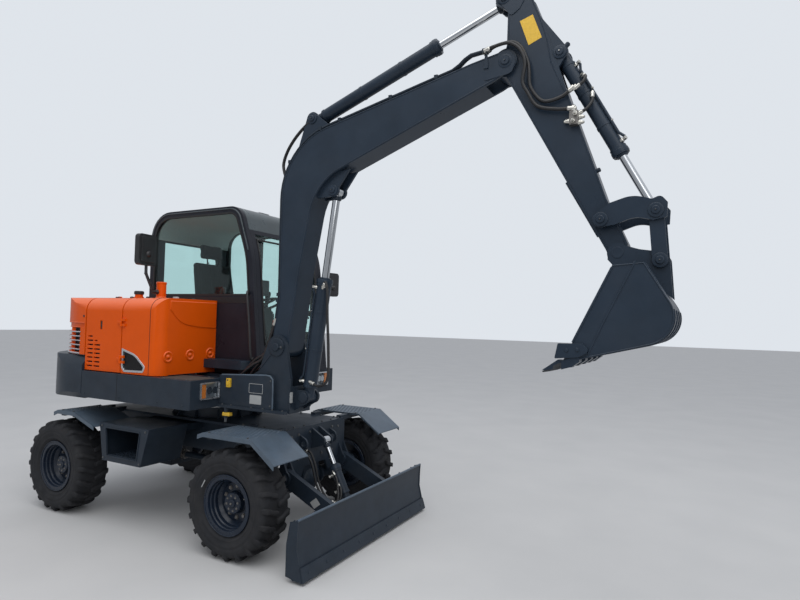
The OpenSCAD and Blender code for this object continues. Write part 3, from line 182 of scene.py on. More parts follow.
def material(
    name, colour, rough, metallic=0.0, coat=0.0, spread=0.12, grain=9.0, rough_spread=0.08, bump=0.0,
    bump_grain=350.0, dust=0.0, dust_colour=(0.22, 0.20, 0.175), specular=0.5, painted_sky_sheen=None,
):
    """Principled material whose colour, roughness and relief vary over the piece, with dust in patches.
    A paler colour laid on faces that look up is a painted sky reflection."""
    mat = bpy.data.materials.new(name)
    mat.use_nodes = True
    tree = mat.node_tree
    bsdf = tree.nodes["Principled BSDF"]
    coords = node_of(tree, "TexCoord").outputs
    broad = node_of(tree, "TexNoise", Vector=coords["Object"], Scale=grain, Detail=7.0, Roughness=0.62)
    low, high = ([min(1.0, c * k) for c in colour] for k in (1 - spread, 1 + spread))
    shade = ramp_of(tree, broad.outputs["Fac"], low, high, (0.3, 0.7)).outputs["Color"]
    spots = node_of(tree, "TexNoise", Vector=coords["Object"], Scale=grain * 0.37, Detail=9.0, Roughness=0.72)
    spots = spots.outputs["Fac"]
    if dust:
        patch = node_of(tree, "MapRange", Value=spots, From_Min=0.42, From_Max=0.78, To_Max=dust)
        shade = laid_over(tree, patch.outputs[0], shade, dust_colour)
    # Painted sky reflection: faces that look up get a paler colour
    if painted_sky_sheen:
        split = node_of(tree, "SeparateXYZ", _0=coords["Normal"])
        height = node_of(tree, "MapRange", Value=split.outputs["Z"], From_Min=0.02, From_Max=0.65)
        shade = laid_over(tree, height.outputs[0], shade, painted_sky_sheen)
    gloss = node_of(tree, "MapRange", Value=spots, From_Min=0.3, From_Max=0.75)
    feed(tree, gloss, To_Min=max(0.02, rough - rough_spread), To_Max=min(1.0, rough + rough_spread))
    feed(tree, bsdf, Base_Color=shade, Roughness=gloss.outputs[0], Metallic=metallic)
    feed(tree, bsdf, Coat_Weight=coat, Coat_Roughness=0.12, Specular_IOR_Level=specular)
    if bump:
        fine = node_of(tree, "TexNoise", Vector=coords["Object"], Scale=bump_grain, Detail=3.0)
        relief = node_of(tree, "Bump", Height=fine.outputs["Fac"], Strength=bump, Distance=0.001)
        feed(tree, bsdf, Normal=relief.outputs["Normal"])
    return mat


def glass_material(name, tint, gloss):
    """Clear tinted pane: it lets light through straight, and mirrors more the flatter it is seen."""
    mat = bpy.data.materials.new(name)
    mat.use_nodes = True
    tree = mat.node_tree
    tree.nodes.remove(tree.nodes["Principled BSDF"])
    clear = node_of(tree, "BsdfTransparent", Color=(*tint, 1))
    shine = node_of(tree, "BsdfGlossy", Color=(0.9, 0.95, 0.95, 1), Roughness=gloss)
    facing = node_of(tree, "LayerWeight", Blend=0.5)
    steep = node_of(tree, "Math", "POWER", _0=facing.outputs["Facing"], _1=5.0)
    share = node_of(tree, "Math", "MULTIPLY_ADD", _0=steep.outputs[0], _1=0.9, _2=0.03)
    mix = node_of(tree, "MixShader", _0=share.outputs[0], _1=clear.outputs[0], _2=shine.outputs[0])
    feed(tree, tree.nodes["Material Output"], Surface=mix.outputs[0])
    return mat


M = {
    "frame": material(
        "frame_paint", (0.018, 0.027, 0.040), 0.36, spread=0.15, bump=0.10, dust=0.05, specular=0.22
    ),
    "boom": material(
        "boom_paint", (0.0175, 0.029, 0.046), 0.33, grain=5, bump=0.10, dust=0.03, specular=0.25
    ),
    "deck": material(
        "deck_paint", (0.066, 0.094, 0.128), 0.42, spread=0.15, bump=0.2, dust=0.10, specular=0.4
    ),
    "cab": material("cab_paint", (0.0145, 0.0165, 0.024), 0.32, bump=0.08, dust=0.03, specular=0.2),
    # The roof's paint is lighter and bluer than the cab's: a painted sky reflection on the roof
    "roof": material("roof_paint_and_painted_sheen", (0.050, 0.066, 0.074), 0.30, spread=0.10, bump=0.08, dust=0.06),
    # Its paler colour on upward faces is a painted sky reflection
    "orange": material(
        "body_paint", (0.70, 0.088, 0.002), 0.36, coat=0.04, spread=0.05, grain=4, rough_spread=0.05,
        bump=0.05, specular=0.12, painted_sky_sheen=(0.80, 0.17, 0.065),
    ),
    "rim": material(
        "rim_paint", (0.010, 0.017, 0.031), 0.28, spread=0.2, grain=12, bump=0.08, dust=0.05, specular=0.3
    ),
    "chrome": material("rod_chrome", (0.56, 0.58, 0.60), 0.12, metallic=1.0, spread=0.03, rough_spread=0.04),
    "steel": material("bare_steel", (0.42, 0.42, 0.42), 0.35, metallic=1.0, bump=0.15),
    "worn": material("worn_steel", (0.20, 0.19, 0.18), 0.45, metallic=0.8, spread=0.35, grain=30, bump=0.3),
    "zinc": material("zinc_fittings", (0.55, 0.54, 0.50), 0.30, metallic=1.0, spread=0.1),
    "silver": material("silver_trim", (0.60, 0.61, 0.63), 0.30, metallic=0.85, spread=0.05, grain=30),
    "mirror": material("mirror_glass", (0.55, 0.58, 0.60), 0.04, metallic=1.0, spread=0.02),
    "bolt": material("dark_bolts", (0.10, 0.105, 0.11), 0.40, metallic=0.6, spread=0.2, grain=40),
    "tooth": material(
        "tooth_steel", (0.045, 0.048, 0.052), 0.45, metallic=0.5, spread=0.3, grain=30, bump=0.3
    ),
    "engine": material(
        "engine_metal", (0.06, 0.065, 0.07), 0.5, metallic=0.5, spread=0.3, grain=16, bump=0.6,
        bump_grain=140, dust=0.2,
    ),
    "rubber": material(
        "tyre_rubber", (0.0155, 0.0165, 0.0195), 0.80, spread=0.25, grain=14, bump=0.5, bump_grain=160,
        dust=0.16, dust_colour=(0.11, 0.10, 0.09), specular=0.3,
    ),
    "hose": material(
        "hose_rubber", (0.012, 0.012, 0.013), 0.48, spread=0.2, grain=40, bump=0.25, bump_grain=700
    ),
    "seal": material("seal_rubber", (0.010, 0.010, 0.011), 0.55, spread=0.15, grain=30, bump=0.15),
    "plastic": material(
        "black_plastic", (0.017, 0.017, 0.019), 0.45, spread=0.15, grain=25, bump=0.15, bump_grain=500
    ),
    "dark": material("grille_black", (0.006, 0.006, 0.007), 0.6, spread=0.2, grain=30),
    "white": material("sticker_white", (0.34, 0.35, 0.35), 0.5, spread=0.06, grain=60),
    "yellow": material("sticker_yellow", (0.68, 0.42, 0.03), 0.45, spread=0.08, grain=60),
    "amber": material("amber_lens", (0.50, 0.16, 0.03), 0.12, coat=0.6, spread=0.1, grain=90),
    "fabric": material(
        "seat_cover", (0.022, 0.023, 0.026), 0.92, spread=0.2, grain=90, bump=0.3, bump_grain=900,
        specular=0.2,
    ),
    "grip": material(
        "anti_slip", (0.050, 0.042, 0.036), 0.92, spread=0.2, grain=40, bump=0.5, bump_grain=300
    ),
    "liner": material("headliner", (0.36, 0.37, 0.36), 0.9, spread=0.08, grain=60, bump=0.2, bump_grain=600),
    "glass": glass_material("glass_tint", (0.86, 0.95, 0.94), 0.02),
    "lens": glass_material("lamp_lens", (0.92, 0.94, 0.95), 0.05),
}


# Outlines and paths


def flat(*points):
    return [Vector(p) for p in points]


def side(y, points):
    """Points of a side view, put at y."""
    return [(p[0], y, p[1]) for p in points]


def rounded(rows, n=6):
    """Outline through rows of (a, b, corner radius), or (a, b) for a sharp corner."""
    out = []
    for i, (a, b, *radius) in enumerate(rows):
        p = Vector((a, b))
        if not radius:
            out.append(p)
            continue
        u = Vector(rows[i - 1][:2]) - p
        v = Vector(rows[(i + 1) % len(rows)][:2]) - p
        half = u.angle(v) / 2
        d = min(radius[0] / math.tan(half), u.length * 0.49, v.length * 0.49)
        u.normalize()
        v.normalize()
        r = d * math.tan(half)
        m = p + (u + v).normalized() * r / math.sin(half)
        a0, a1 = (math.atan2(q.y, q.x) for q in (p + u * d - m, p + v * d - m))
        turn = (a1 - a0 + math.pi) % math.tau - math.pi
        for k in range(n + 1):
            out.append(m + r * Vector((math.cos(a0 + turn * k / n), math.sin(a0 + turn * k / n))))
    return out


def rect(a0, b0, a1, b1, r, n=6):
    """Rectangle with rounded corners."""
    return rounded([(a0, b0, r), (a1, b0, r), (a1, b1, r), (a0, b1, r)], n)


def inset(outline, d):
    """The outline moved inwards by d all the way round."""
    area = sum(p.x * q.y - q.x * p.y for p, q in zip(outline, outline[1:] + outline[:1]))
    d = d if area > 0 else -d
    out = []
    for i, p in enumerate(outline):
        u = (p - outline[i - 1]).normalized()
        v = (outline[(i + 1) % len(outline)] - p).normalized()
        a, b = Vector((-u.y, u.x)), Vector((-v.y, v.x))
        out.append(p + (a + b) * d / (1 + a.dot(b)))
    return out


def curve(points, steps=8):
    """Smooth path through points."""
    p = [Vector(q) for q in points]
    p = [2 * p[0] - p[1], *p, 2 * p[-1] - p[-2]]
    out = []
    for a, b, c, d in zip(p, p[1:], p[2:], p[3:]):
        for k in range(steps):
            t = k / steps
            square = (2 * a - 5 * b + 4 * c - d) * t**2
            out.append(0.5 * (2 * b + (c - a) * t + square + (3 * b - a - 3 * c + d) * t**3))
    return out + [p[-2]]


def arc(a, b, r, a0, a1, n=12):
    """Points of an arc in a plane, angles in degrees."""
    turns = [math.radians(a0 + (a1 - a0) * k / n) for k in range(n + 1)]
    return [Vector((a + r * math.cos(t), b + r * math.sin(t))) for t in turns]


def circle_path(centre, axis, r, n=24, start=0):
    turn = Vector(axis).to_track_quat("Z", "Y").to_matrix()
    turns = [math.radians(start + 360 * k / n) for k in range(n)]
    return [Vector(centre) + turn @ Vector((r * math.cos(t), r * math.sin(t), 0)) for t in turns]


def crossings(outline, k, axis):
    """Where a grid line at k meets an outline, sorted."""
    found = []
    for p, q in zip(outline, outline[1:] + outline[:1]):
        if (p[axis] - k) * (q[axis] - k) < 0:
            t = (k - p[axis]) / (q[axis] - p[axis])
            found.append(p[1 - axis] + t * (q[1 - axis] - p[1 - axis]))
    return sorted(found)


# Pieces are gathered as kits: one mesh for each body, material and part

PLANES = {"x": lambda a, b, t: (t, a, b), "y": lambda a, b, t: (a, t, b), "z": lambda a, b, t: (a, b, t)}


def round_edges(obj, width, angle):
    """Small rounding along edges that are sharper than an angle in degrees."""
    bevel = obj.modifiers.new("edges", "BEVEL")
    bevel.width = width / 1000
    bevel.segments = 2
    bevel.limit_method = "ANGLE"
    bevel.angle_limit = math.radians(angle)
    obj.modifiers.new("shade", "WEIGHTED_NORMAL").keep_sharp = True


class Kit:
    """One mesh piece, gathered from small forms in the design's millimetres."""

    def __init__(self, look, bevel, sharp):
        self.bm = bmesh.new()
        self.look, self.bevel, self.sharp = look, bevel, sharp
        self.frame = Matrix.Identity(4)

    def loft(self, rings, closed=False):
        rows = [[self.bm.verts.new(self.frame @ Vector(p)) for p in ring] for ring in rings]
        n = len(rows[0])
        for a, b in list(zip(rows, rows[1:])) + ([(rows[-1], rows[0])] if closed else []):
            for i in range(n):
                self.bm.faces.new((a[i], a[(i + 1) % n], b[(i + 1) % n], b[i]))
        if not closed:
            self.bm.faces.new(rows[0][::-1])
            self.bm.faces.new(rows[-1])

    def prism(self, outline, a, b, axis="y"):
        self.loft([[PLANES[axis](*p, t) for p in outline] for t in (a, b)])

    def band(self, outline, inner, a, b, axis="y"):
        """Frame between two outlines with the same number of points."""
        rings = [(outline, a), (outline, b), (inner, b), (inner, a)]
        self.loft([[PLANES[axis](*p, t) for p in ring] for ring, t in rings], closed=True)

    def box(self, lo, hi):
        x, y, z = lo
        self.loft([[(x, y, t), (hi[0], y, t), (hi[0], hi[1], t), (x, hi[1], t)] for t in (z, hi[2])])

    def lathe(self, profile, at=(0, 0, 0), axis=(0, 0, 1), n=32, closed=False):
        """Profile rows are (radius, distance along the axis)."""
        turn = Vector(axis).to_track_quat("Z", "Y").to_matrix()
        at = Vector(at)
        ring = [(math.cos(k * math.tau / n), math.sin(k * math.tau / n)) for k in range(n)]
        self.loft([[at + turn @ Vector((r * c, r * s, h)) for c, s in ring] for r, h in profile], closed)

    def tube(self, path, r, n=10, closed=False):
        """Round bar along a path, with one radius or one for each point."""
        p = [Vector(q) for q in path]
        k = len(p)
        normal = None
        rings = []
        for i in range(k):
            before = p[i - 1] if closed or i else p[0]
            after = p[(i + 1) % k] if closed or i < k - 1 else p[-1]
            t = (after - before).normalized()
            normal = t.orthogonal() if normal is None else normal - t * normal.dot(t)
            normal.normalize()
            across = t.cross(normal)
            size = r[i] if isinstance(r, (list, tuple)) else r
            turns = [(j + 0.5) * math.tau / n for j in range(n)]
            rings.append([p[i] + size * (math.cos(a) * normal + math.sin(a) * across) for a in turns])
        self.loft(rings, closed)

    def bolt(self, at, axis, d=10):
        """Hexagon head on a washer."""
        self.lathe([(d * 1.15, -1), (d * 1.15, d * 0.2), (d * 0.6, d * 0.2)], at, axis, 14)
        flat_r = d * 0.92
        self.lathe([(flat_r, d * 0.2), (flat_r, d * 0.72), (flat_r * 0.86, d * 0.86)], at, axis, 6)

    def ring_of_bolts(self, centre, axis, r, count, d=10, start=0):
        for p in circle_path(centre, axis, r, count, start):
            self.bolt(p, axis, d)

    def finish(self, name):
        bmesh.ops.recalc_face_normals(self.bm, faces=self.bm.faces)
        limit = math.radians(self.sharp)
        for e in self.bm.edges:
            e.smooth = len(e.link_faces) == 2 and e.calc_face_angle(0) < limit
        for f in self.bm.faces:
            f.smooth = True
        mesh = bpy.data.meshes.new(name)
        self.bm.to_mesh(mesh)
        self.bm.free()
        mesh.transform(Matrix.Translation((SHIFT_X / 1000, 0, 0)) @ Matrix.Scale(0.001, 4))
        mesh.materials.append(M[self.look])
        obj = link_in(bpy.data.objects.new(name, mesh))
        if self.bevel:
            round_edges(obj, self.bevel, self.sharp)
        return obj


REPLACED = {"lamp_bezels": ["lamps"]}
KITS = {}


def kit(body, look, part, bevel=0.0, sharp=38):
    if part not in KITS:
        KITS[part] = (body, Kit(look, bevel, sharp))
    owner, piece = KITS[part]
    if owner != body:
        raise ValueError(part + " is on " + owner)
    return piece


def hose(name, bodies, path, r):
    """Hose on one body, or left unparented in place when it runs between two, with a crimped fitting at each
    end.
    """
    points = curve(path)
    piece = Kit("hose", 0, 40)
    piece.tube(points, r, 10)
    obj = piece.finish(name)
    for body, p, q in ((bodies[0], points[0], points[1]), (bodies[-1], points[-1], points[-2])):
        fitting = kit(body, "zinc", "hose_fittings_" + body, sharp=30)
        axis = q - p
        fitting.lathe([(r * 1.3, 0), (r * 1.35, r * 2.2), (r * 1.05, r * 2.6)], p, axis, 14)
        fitting.lathe([(r * 1.5, -r * 0.9), (r * 1.5, -0.1)], p, axis, 6)
        fitting.lathe([(r * 0.9, -r * 2.2), (r * 0.9, -r * 0.8)], p, axis, 12)
    if len(bodies) == 2:
        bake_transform(obj)
    else:
        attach(obj, bodies[0])


def boss(piece, profile, pin, out, s, n=32, mid=BOOM_Y):
    """Turned form on a pin, facing side s at out from the plane y = mid."""
    piece.lathe(profile, (pin[0], mid + s * out, pin[1]), (0, s, 0), n)


def pin_head(piece, nuts, pin, out, s, r=25):
    """Flanged end of a pin, with a bolt."""
    boss(piece, [(r + 19, -1), (r + 19, 6), (r + 15, 9), (r + 1, 9)], pin, out, s, 36)
    boss(piece, [(r, 0), (r, 15), (r - 4, 19), (6, 19)], pin, out, s, 28)
    boss(nuts, [(5, 18), (5, 25), (3.5, 29)], pin, out, s, 12)


# Frame nodes that show as they are: material, and a small rounding along their edges

SOFTENED = {
    ("frame", 2): "tie_downs blade_barrel", ("frame", 2.5): "knuckle_left knuckle_right",
    ("frame", 3): "chassis_frame front_axle rear_axle drive_shaft side_boxes blade upper_frame",
    ("frame", 6): "skirts", ("frame", 10): "counterweight", ("steel", 2): "slew_ring",
    ("deck", 1.5): "fenders", ("chrome", 1): "steering_rod",
    ("chrome", 2): "blade_rod boom_rod arm_rod bucket_rod",
    ("engine", 8): "engine", ("orange", 4): "engine_hood side_cover side_door",
    ("cab", 2): "cab_floor", ("cab", 4): "cab_right cab_left cab_rear cab_front", ("cab", 5): "cab_door",
    ("roof", 12): "cab_roof", ("glass", 1): "cab_glass door_glass", ("plastic", 3): "controls",
    ("plastic", 6): "mirrors", ("lens", 2): "lamps", ("boom", 4): "boom",
    ("boom", 2): "boom_barrel arm_barrel bucket_barrel", ("boom", 3): "arm bucket",
    ("boom", 2.5): "rocker bucket_link",
    ("rim", 2): "rim_front_left rim_front_right rim_rear_left rim_rear_right",
}
for (look, width), nodes in SOFTENED.items():
    for node in nodes.split():
        obj = NODES[node]
        obj.data.materials.clear()
        obj.data.materials.append(M[look])
        for face in obj.data.polygons:
            face.use_smooth = True
            face.material_index = 0
        obj.modifiers.new("weld", "WELD").merge_threshold = 0.00002
        dissolve = obj.modifiers.new("flat", "DECIMATE")
        dissolve.decimate_type = "DISSOLVE"
        dissolve.angle_limit = math.radians(0.8)
        round_edges(obj, width, 38)


# Wheels

TYRE_HALF = [
    (392, 0), (391.5, 60), (390, 98), (385, 122), (374, 138), (360, 146.5), (345, 149.5), (332, 150),
    (323, 149.5), (319, 147), (307, 148), (301, 149.5), (295, 146.5), (281, 143), (269, 139), (264, 139.5),
    (259, 140.5), (254, 137.5), (248, 132), (243, 127), (237, 121), (231, 118), (228.5, 116), (206.5, 115),
]
# Rows of a tyre lug: distance from the middle plane, outer and inner radius, half width
LUG = [
    (2, 404, 384, 16), (7, 413.5, 384, 18), (30, 415, 384, 19), (60, 415, 383, 18), (76, 415, 383, 18),
    (104, 414.5, 378, 19), (122, 411, 370, 20), (134, 403, 360, 20), (143, 388, 348, 18), (148, 368, 338, 13),
]
RIM_STEPS = [
    (197, 126), (191, 123), (190, 101), (183, 94), (182, 71), (174, 62), (173, 36), (151, 12),
    (150, 5), (197, 5),
]


def add_lug(piece, angle, s):
    rings = []
    for z, top, base, half in LUG:
        mid = -17.35 + (min(z, 134) - 6) * 0.275 + (5 if z > 68 else -5)
        row = [
            (base, mid - half - 5), (top - 3, mid - half), (top, mid - half + 4),
            (top, mid + half - 4), (top - 3, mid + half), (base, mid + half + 5),
        ]
        row = [(r, angle + t / TYRE_R) for r, t in row]
        rings.append([(r * math.cos(a), r * math.sin(a), s * z) for r, a in row])
    piece.loft(rings)


def add_wheel(corner, x, s):
    body = "wheel_" + corner
    part = "tyre_" + corner + "_detail"
    REPLACED[part] = ["tyre_" + corner]
    tyre = kit(body, "rubber", part, sharp=50)
    rim = kit(body, "rim", "rim_" + corner + "_steps", 1.2)
    nuts = kit(body, "worn", "nuts_" + corner)
    for piece in (tyre, rim, nuts):
        piece.frame = Matrix(((1, 0, 0, x), (0, 0, s, s * WHEEL_Y), (0, -s, 0, AXLE_Z), (0, 0, 0, 1)))
    tyre.lathe([(r, -z) for r, z in reversed(TYRE_HALF)] + TYRE_HALF[1:], n=120, closed=True)
    for i in range(20):
        add_lug(tyre, math.radians(18 * i - 90), 1)
        add_lug(tyre, math.radians(18 * i - 81), -1)
    rim.lathe(RIM_STEPS, n=72, closed=True)
    for z in (126, -126):
        rim.tube(circle_path((0, 0, z), Z, 224, 72), 5.5, 8, closed=True)
    rim.lathe([(88, 5), (88, 12), (80, 16), (80, 5)], n=48, closed=True)
    rim.lathe([(81, 46), (81, 54), (75, 60), (70, 60), (70, 46)], n=48, closed=True)
    rim.lathe([(34, 60), (33, 70), (28, 74), (10, 74)], n=32)
    nuts.ring_of_bolts((0, 0, 6), Z, 119, 10, 15, 18)
    nuts.ring_of_bolts((0, 0, 61), Z, 56, 8, 8, 10)
    nuts.lathe([(9, 73), (9, 80), (7, 82)], n=6)
    valve = [(r * math.cos(0.4), r * math.sin(0.4), z) for r, z in ((172, 66), (176, 92), (177, 112))]
    nuts.tube(valve, [4.5, 4, 5], 8)


for end, x in (("front", FRONT_X), ("rear", REAR_X)):
    for hand, s in (("left", 1), ("right", -1)):
        add_wheel(end + "_" + hand, x, s)


# Chassis, axles and fenders

welds = kit("chassis", "frame", "chassis_details", 1.5)
bolts = kit("chassis", "bolt", "chassis_bolts")
for i in range(12):
    welds.frame = Matrix.Rotation(math.radians(15 + 30 * i), 4, "Z")
    welds.prism(flat((368, 904), (424, 904), (424, 912), (380, 975), (368, 975)), -6, 6)
welds.frame = Matrix.Identity(4)
deck_bolts = [(1150, y) for y in (380, 270, 130)] + [(x, 400) for x in (1090, 940, 700, -1060, -900)]
for x, y in deck_bolts:
    for s in SIDES:
        bolts.bolt((x, s * y, DECK_Z), Z, 11)
for y, z in ((90, 850), (245, 850), (340, 840), (90, 640), (245, 640)):
    for s in SIDES:
        bolts.bolt((1180, s * y, z), X, 11)
FENDERS = (
    flat((742, 913), (800, 935), (1283, 935), (1507, 774)),
    flat((-1115, 913), (-1060, 935), (-813, 935), (-530, 838)),
)
lips = kit("chassis", "deck", "fender_lips", 1.2)
grips = kit("chassis", "deck", "fender_grips")
for s in SIDES:
    for rows in FENDERS:
        start, stop, top = rows[1].x, rows[2].x, rows[1].y
        for drop, y0, y1 in ((34, 943, 950.5), (16, 540, 546)):
            lips.prism(rows + [p - Vector((0, drop)) for p in rows][::-1], s * y0, s * y1)
        for i in range(int((stop - start - 40) // 38) + 1):
            for j in range(9):
                x = start + 24 + i * 38 + (19 if j % 2 else 0)
                if x < stop - 12:
                    grips.lathe([(11, -0.5), (9, 2.6), (4, 3.4)], (x, s * (575 + j * 40), top), Z, 8)
        for x in (start + 45, stop - 45):
            for y in (556, 925):
                bolts.bolt((x, s * y, top), Z, 9)
for s in SIDES:
    # Serrated step in the side box, and the box's rim
    step = kit("chassis", "frame", "steps", 0.6)
    for y in range(560, 880, 38):
        teeth = [(-392 + 16 * k, 605 if k % 2 else 597) for k in range(24)]
        step.prism(flat((-392, 584), *teeth, (-24, 584)), s * y - 2.5, s * y + 2.5)
    for x in range(-380, -20, 60):
        step.box((x, s * 712 - 170, 586), (x + 5, s * 712 + 170, 600))
    step.box((-398, s * 890 - 5, 566), (-18, s * 890 + 5, 606))
    opening = rounded([(-420, 832, 8), (20, 832, 8), (-12, 600, 8), (-392, 600, 8)], 3)
    box_rim = kit("chassis", "frame", "step_box_rims", 1)
    box_rim.band(inset(opening, -11), inset(opening, -1), s * 904, s * 910)
    for x, z in ((-470, 850), (-440, 575), (30, 575), (95, 850)):
        bolts.bolt((x, s * 905, z), (0, s, 0), 9)
    # Axle flanges, kingpin caps and brake hoses
    for x in (FRONT_X, REAR_X):
        welds.lathe([(86, 0), (86, 18), (60, 30), (60, 0)], (x, s * 190, AXLE_Z), (0, s, 0), 32)
        bolts.ring_of_bolts((x, s * 208, AXLE_Z), (0, s, 0), 74, 8, 8)
        welds.lathe([(150, -7), (150, 7), (130, 7), (130, -7)], (x, 0, AXLE_Z), (s, 0, 0), 40, closed=True)
    bolts.ring_of_bolts((FRONT_X + 7, 0, AXLE_Z), X, 141, 12, 7)
    hand = "left" if s > 0 else "right"
    cap = kit("knuckle_" + hand, "frame", "kingpin_caps_" + hand, 1)
    nuts = kit("knuckle_" + hand, "zinc", "kingpin_bolts_" + hand)
    for z, up in ((500, 1), (330, -1)):
        cap.lathe([(38, -1), (38, 9), (30, 13), (6, 13)], (FRONT_X, s * KINGPIN_Y, z), (0, 0, up), 24)
        nuts.ring_of_bolts((FRONT_X, s * KINGPIN_Y, z + 9 * up), (0, 0, up), 29, 4, 5, 45)
    cap.lathe([(100, 0), (100, 10), (70, 18), (33, 18)], (FRONT_X, s * 716, AXLE_Z), (0, s, 0), 40)
    nuts.lathe([(19, -2), (19, 8), (12, 12), (4, 12)], (945, s * 600, 530), Z, 16)
    rows = [(1005, 330, 590), (985, 430, 560), (965, 520, 575), (985, 640, 545), (1020, 700, 475)]
    path = [(x, s * y, z) for x, y, z in rows]
    hose("brake_hose_" + hand, ("chassis", "knuckle_" + hand), path, 7)
    path = [(-1060, s * 90, 560), (-1040, s * 160, 480), (-1035, s * 300, 476), (-1035, s * 620, 476)]
    kit("chassis", "hose", "lines").tube(curve(path), 5, 8)
# Joints of the drive shaft, and the drop box with its motor
shaft = kit("chassis", "worn", "shaft_joints", 1)
for x, up in ((-938, 1), (-772, -1), (-468, 1), (898, -1)):
    yoke = [(48, 0), (48, 12), (36, 16), (36, 44), (42, 48), (42, 58), (31, 62)]
    shaft.lathe(yoke, (x, 0, SHAFT_Z), (up, 0, 0), 28)
    for axis in (Y, Z):
        shaft.lathe([(15, -46), (15, 46)], (x + 30 * up, 0, SHAFT_Z), axis, 16)
case = kit("chassis", "frame", "drop_box_details", 2)
case.box((-745, -96, 352), (-495, 96, 342))
for x in (-752, -488):
    case.lathe([(72, -3), (72, 3)], (x, 0, SHAFT_Z), X, 28)
bolts.ring_of_bolts((-757, 0, SHAFT_Z), (-1, 0, 0), 62, 8, 7)
bolts.ring_of_bolts((-483, 0, SHAFT_Z), X, 62, 8, 7)
case.lathe([(62, 0), (62, 70), (54, 84), (54, 150), (40, 160)], (-620, 128, 500), Y, 28)
for z in (470, 530):
    path = [(-620, 250, z), (-560, 262, z + 40), (-520, 240, 590), (-500, 200, 602)]
    hose(f"drive_motor_hose_{z}", ("chassis",), path, 11)


# Blade

edge = kit("blade", "frame", "cutting_edge", 1)
edge.prism(flat((1797, 22), (1768, 113), (1783, 118), (1812, 30), (1812, 22)), -BLADE_HALF, BLADE_HALF)
plows = kit("blade", "frame", "cutting_edge_bolts")
for y in range(-880, 881, 220):
    plows.lathe([(13, -2), (12, 2.5), (5, 4)], (1798, y, 70), (0.955, 0, 0.3), 14)
ribs = kit("blade", "frame", "blade_ribs", 1.5)
for y in (-900, -660, -180, 180, 660, 900):
    rib = flat((1690, 408), (1655, 262), (1655, 62), (1640, 62), (1625, 150), (1628, 270), (1672, 412))
    ribs.prism(rib, y - 7, y + 7)
cheek = [(1752, 438), (1683, 418), (1655, 262), (1655, 40), (1800, 20), (1775, 115), (1745, 235), (1747, 345)]
for s in SIDES:
    ribs.prism(cheek, s * (BLADE_HALF - 6), s * (BLADE_HALF + 4))
    boss(ribs, [(40, -1), (40, 6), (34, 9), (8, 9)], BLADE_PIN, 453, s, 28, mid=0)
    bolts.bolt((1222, s * 459, 548), (0, s, 0), 8)
    boss(ribs, [(37, 0), (37, 8), (30, 11), (8, 11)], BLADE_CYL_FOOT, 64, s, 28, mid=0)
for s in SIDES:
    ribs.tube([(1560, s * 380, 300), (1560, s * 64, 285)], 38, 20)
# A bar in lighter deck paint along the blade's top edge: a painted highlight
top_edge = [(1746, k * BLADE_HALF, 434) for k in (-1, -0.5, 0, 0.5, 1)]
kit("blade", "deck", "blade_top_edge_painted_highlight").tube(top_edge, 9, 12)
plate = flat((1457, 376), (1514, 421), (1556, 378), (1499, 333))
kit("blade", "white", "blade_blank_plate", 0.5).prism(plate, -431.5, -429.5)
# Hoses from the chassis down to the blade's cylinder
for k, y in enumerate((-150, -190)):
    path = [
        (1184, y, 700 - 20 * k), (1240, y, 690 - 20 * k), (1290, y, 600), (1330, y + 10, 450),
        (1400, y + 20, 330), (1480, y + 25, 300),
    ]
    hose(f"blade_hose_{k}", ("chassis", "blade"), path, 10)
    path = [(1490, y + 25, 300), (1520, y + 60, 330), (1500 - 40 * k, -60, 400 + 60 * k)]
    path.append((1460 - 50 * k, -44, 430 + 90 * k))
    hose(f"blade_cylinder_hose_{k}", ("blade", "blade_barrel"), path, 10)
mark = kit("wheel_front_right", "white", "tyre_mark")
mark.prism(flat((812, 524), (819, 521), (853, 578), (846, 582)), -955, -953)


# Slewing frame, skirts, counterweight and console


def tail_plan(out, x0):
    """Plan round the tail from x0 on the left to x0 on the right, at a distance out from its skin."""
    w, big, small = TAIL_HALF + out, TAIL_R + out, TAIL_CORNER + out
    c = math.sqrt((big - small) ** 2 - (w - small) ** 2)
    a = math.degrees(math.atan2(w - small, c))
    t = math.degrees(math.acos(min(0, (x0 + c) / small)))
    rows = arc(-c, w - small, small, t, 180 - a, 14) + arc(0, 0, big, 180 - a, 180 + a, 8)[1:-1]
    rows += arc(-c, small - w, small, 180 + a, 360 - t, 14)
    return flat((x0, w)) + rows + flat((x0, -w)) if x0 > -c else rows


plates = kit("upper", "frame", "upper_details", 1.5)
ubolts = kit("upper", "bolt", "upper_bolts")
walk = kit("upper", "grip", "walkway_mat", 1)
for mat in (rect(225, -905, 610, -640, 30, 4), rect(-300, 700, 690, 905, 20, 4)):
    walk.prism(mat, UPPER_TOP - 0.5, UPPER_TOP + 3, "z")
for x, y in ((172, -828), (508, -625), (146, -327), (300, -914), (440, -914), (560, -914), (215, -500)):
    ubolts.bolt((x, y, UPPER_TOP), Z, 7)
for s, x1 in ((-1, 600), (1, 680)):
    for x in (-720, -240, 240, x1 - 60):
        plates.lathe([(9, -1), (8, 3), (3, 4.5)], (x, s * SKIRT_Y, 1112), (0, s, 0), 12)
    plates.box((-762, s * SKIRT_Y - 2, 1079), (x1 + 15, s * SKIRT_Y + 2, 1086))
seams = kit("upper", "dark", "panel_seams")
for x, y in ((-277, -926), (-300, 922), (300, 922)):
    seams.box((x, y, 1082), (x + 4, y + 4, UPPER_TOP - 1))
# Lamps in the fronts of both skirts
bezels = kit("upper", "silver", "lamp_bezels", 1.5)
bowls = kit("upper", "chrome", "lamp_reflectors")
panels = kit("upper", "dark", "lamp_backs", 1)
clear = kit("upper", "lens", "lamp_lenses", 1)
ambers = kit("upper", "amber", "lamp_indicators", 1.5)
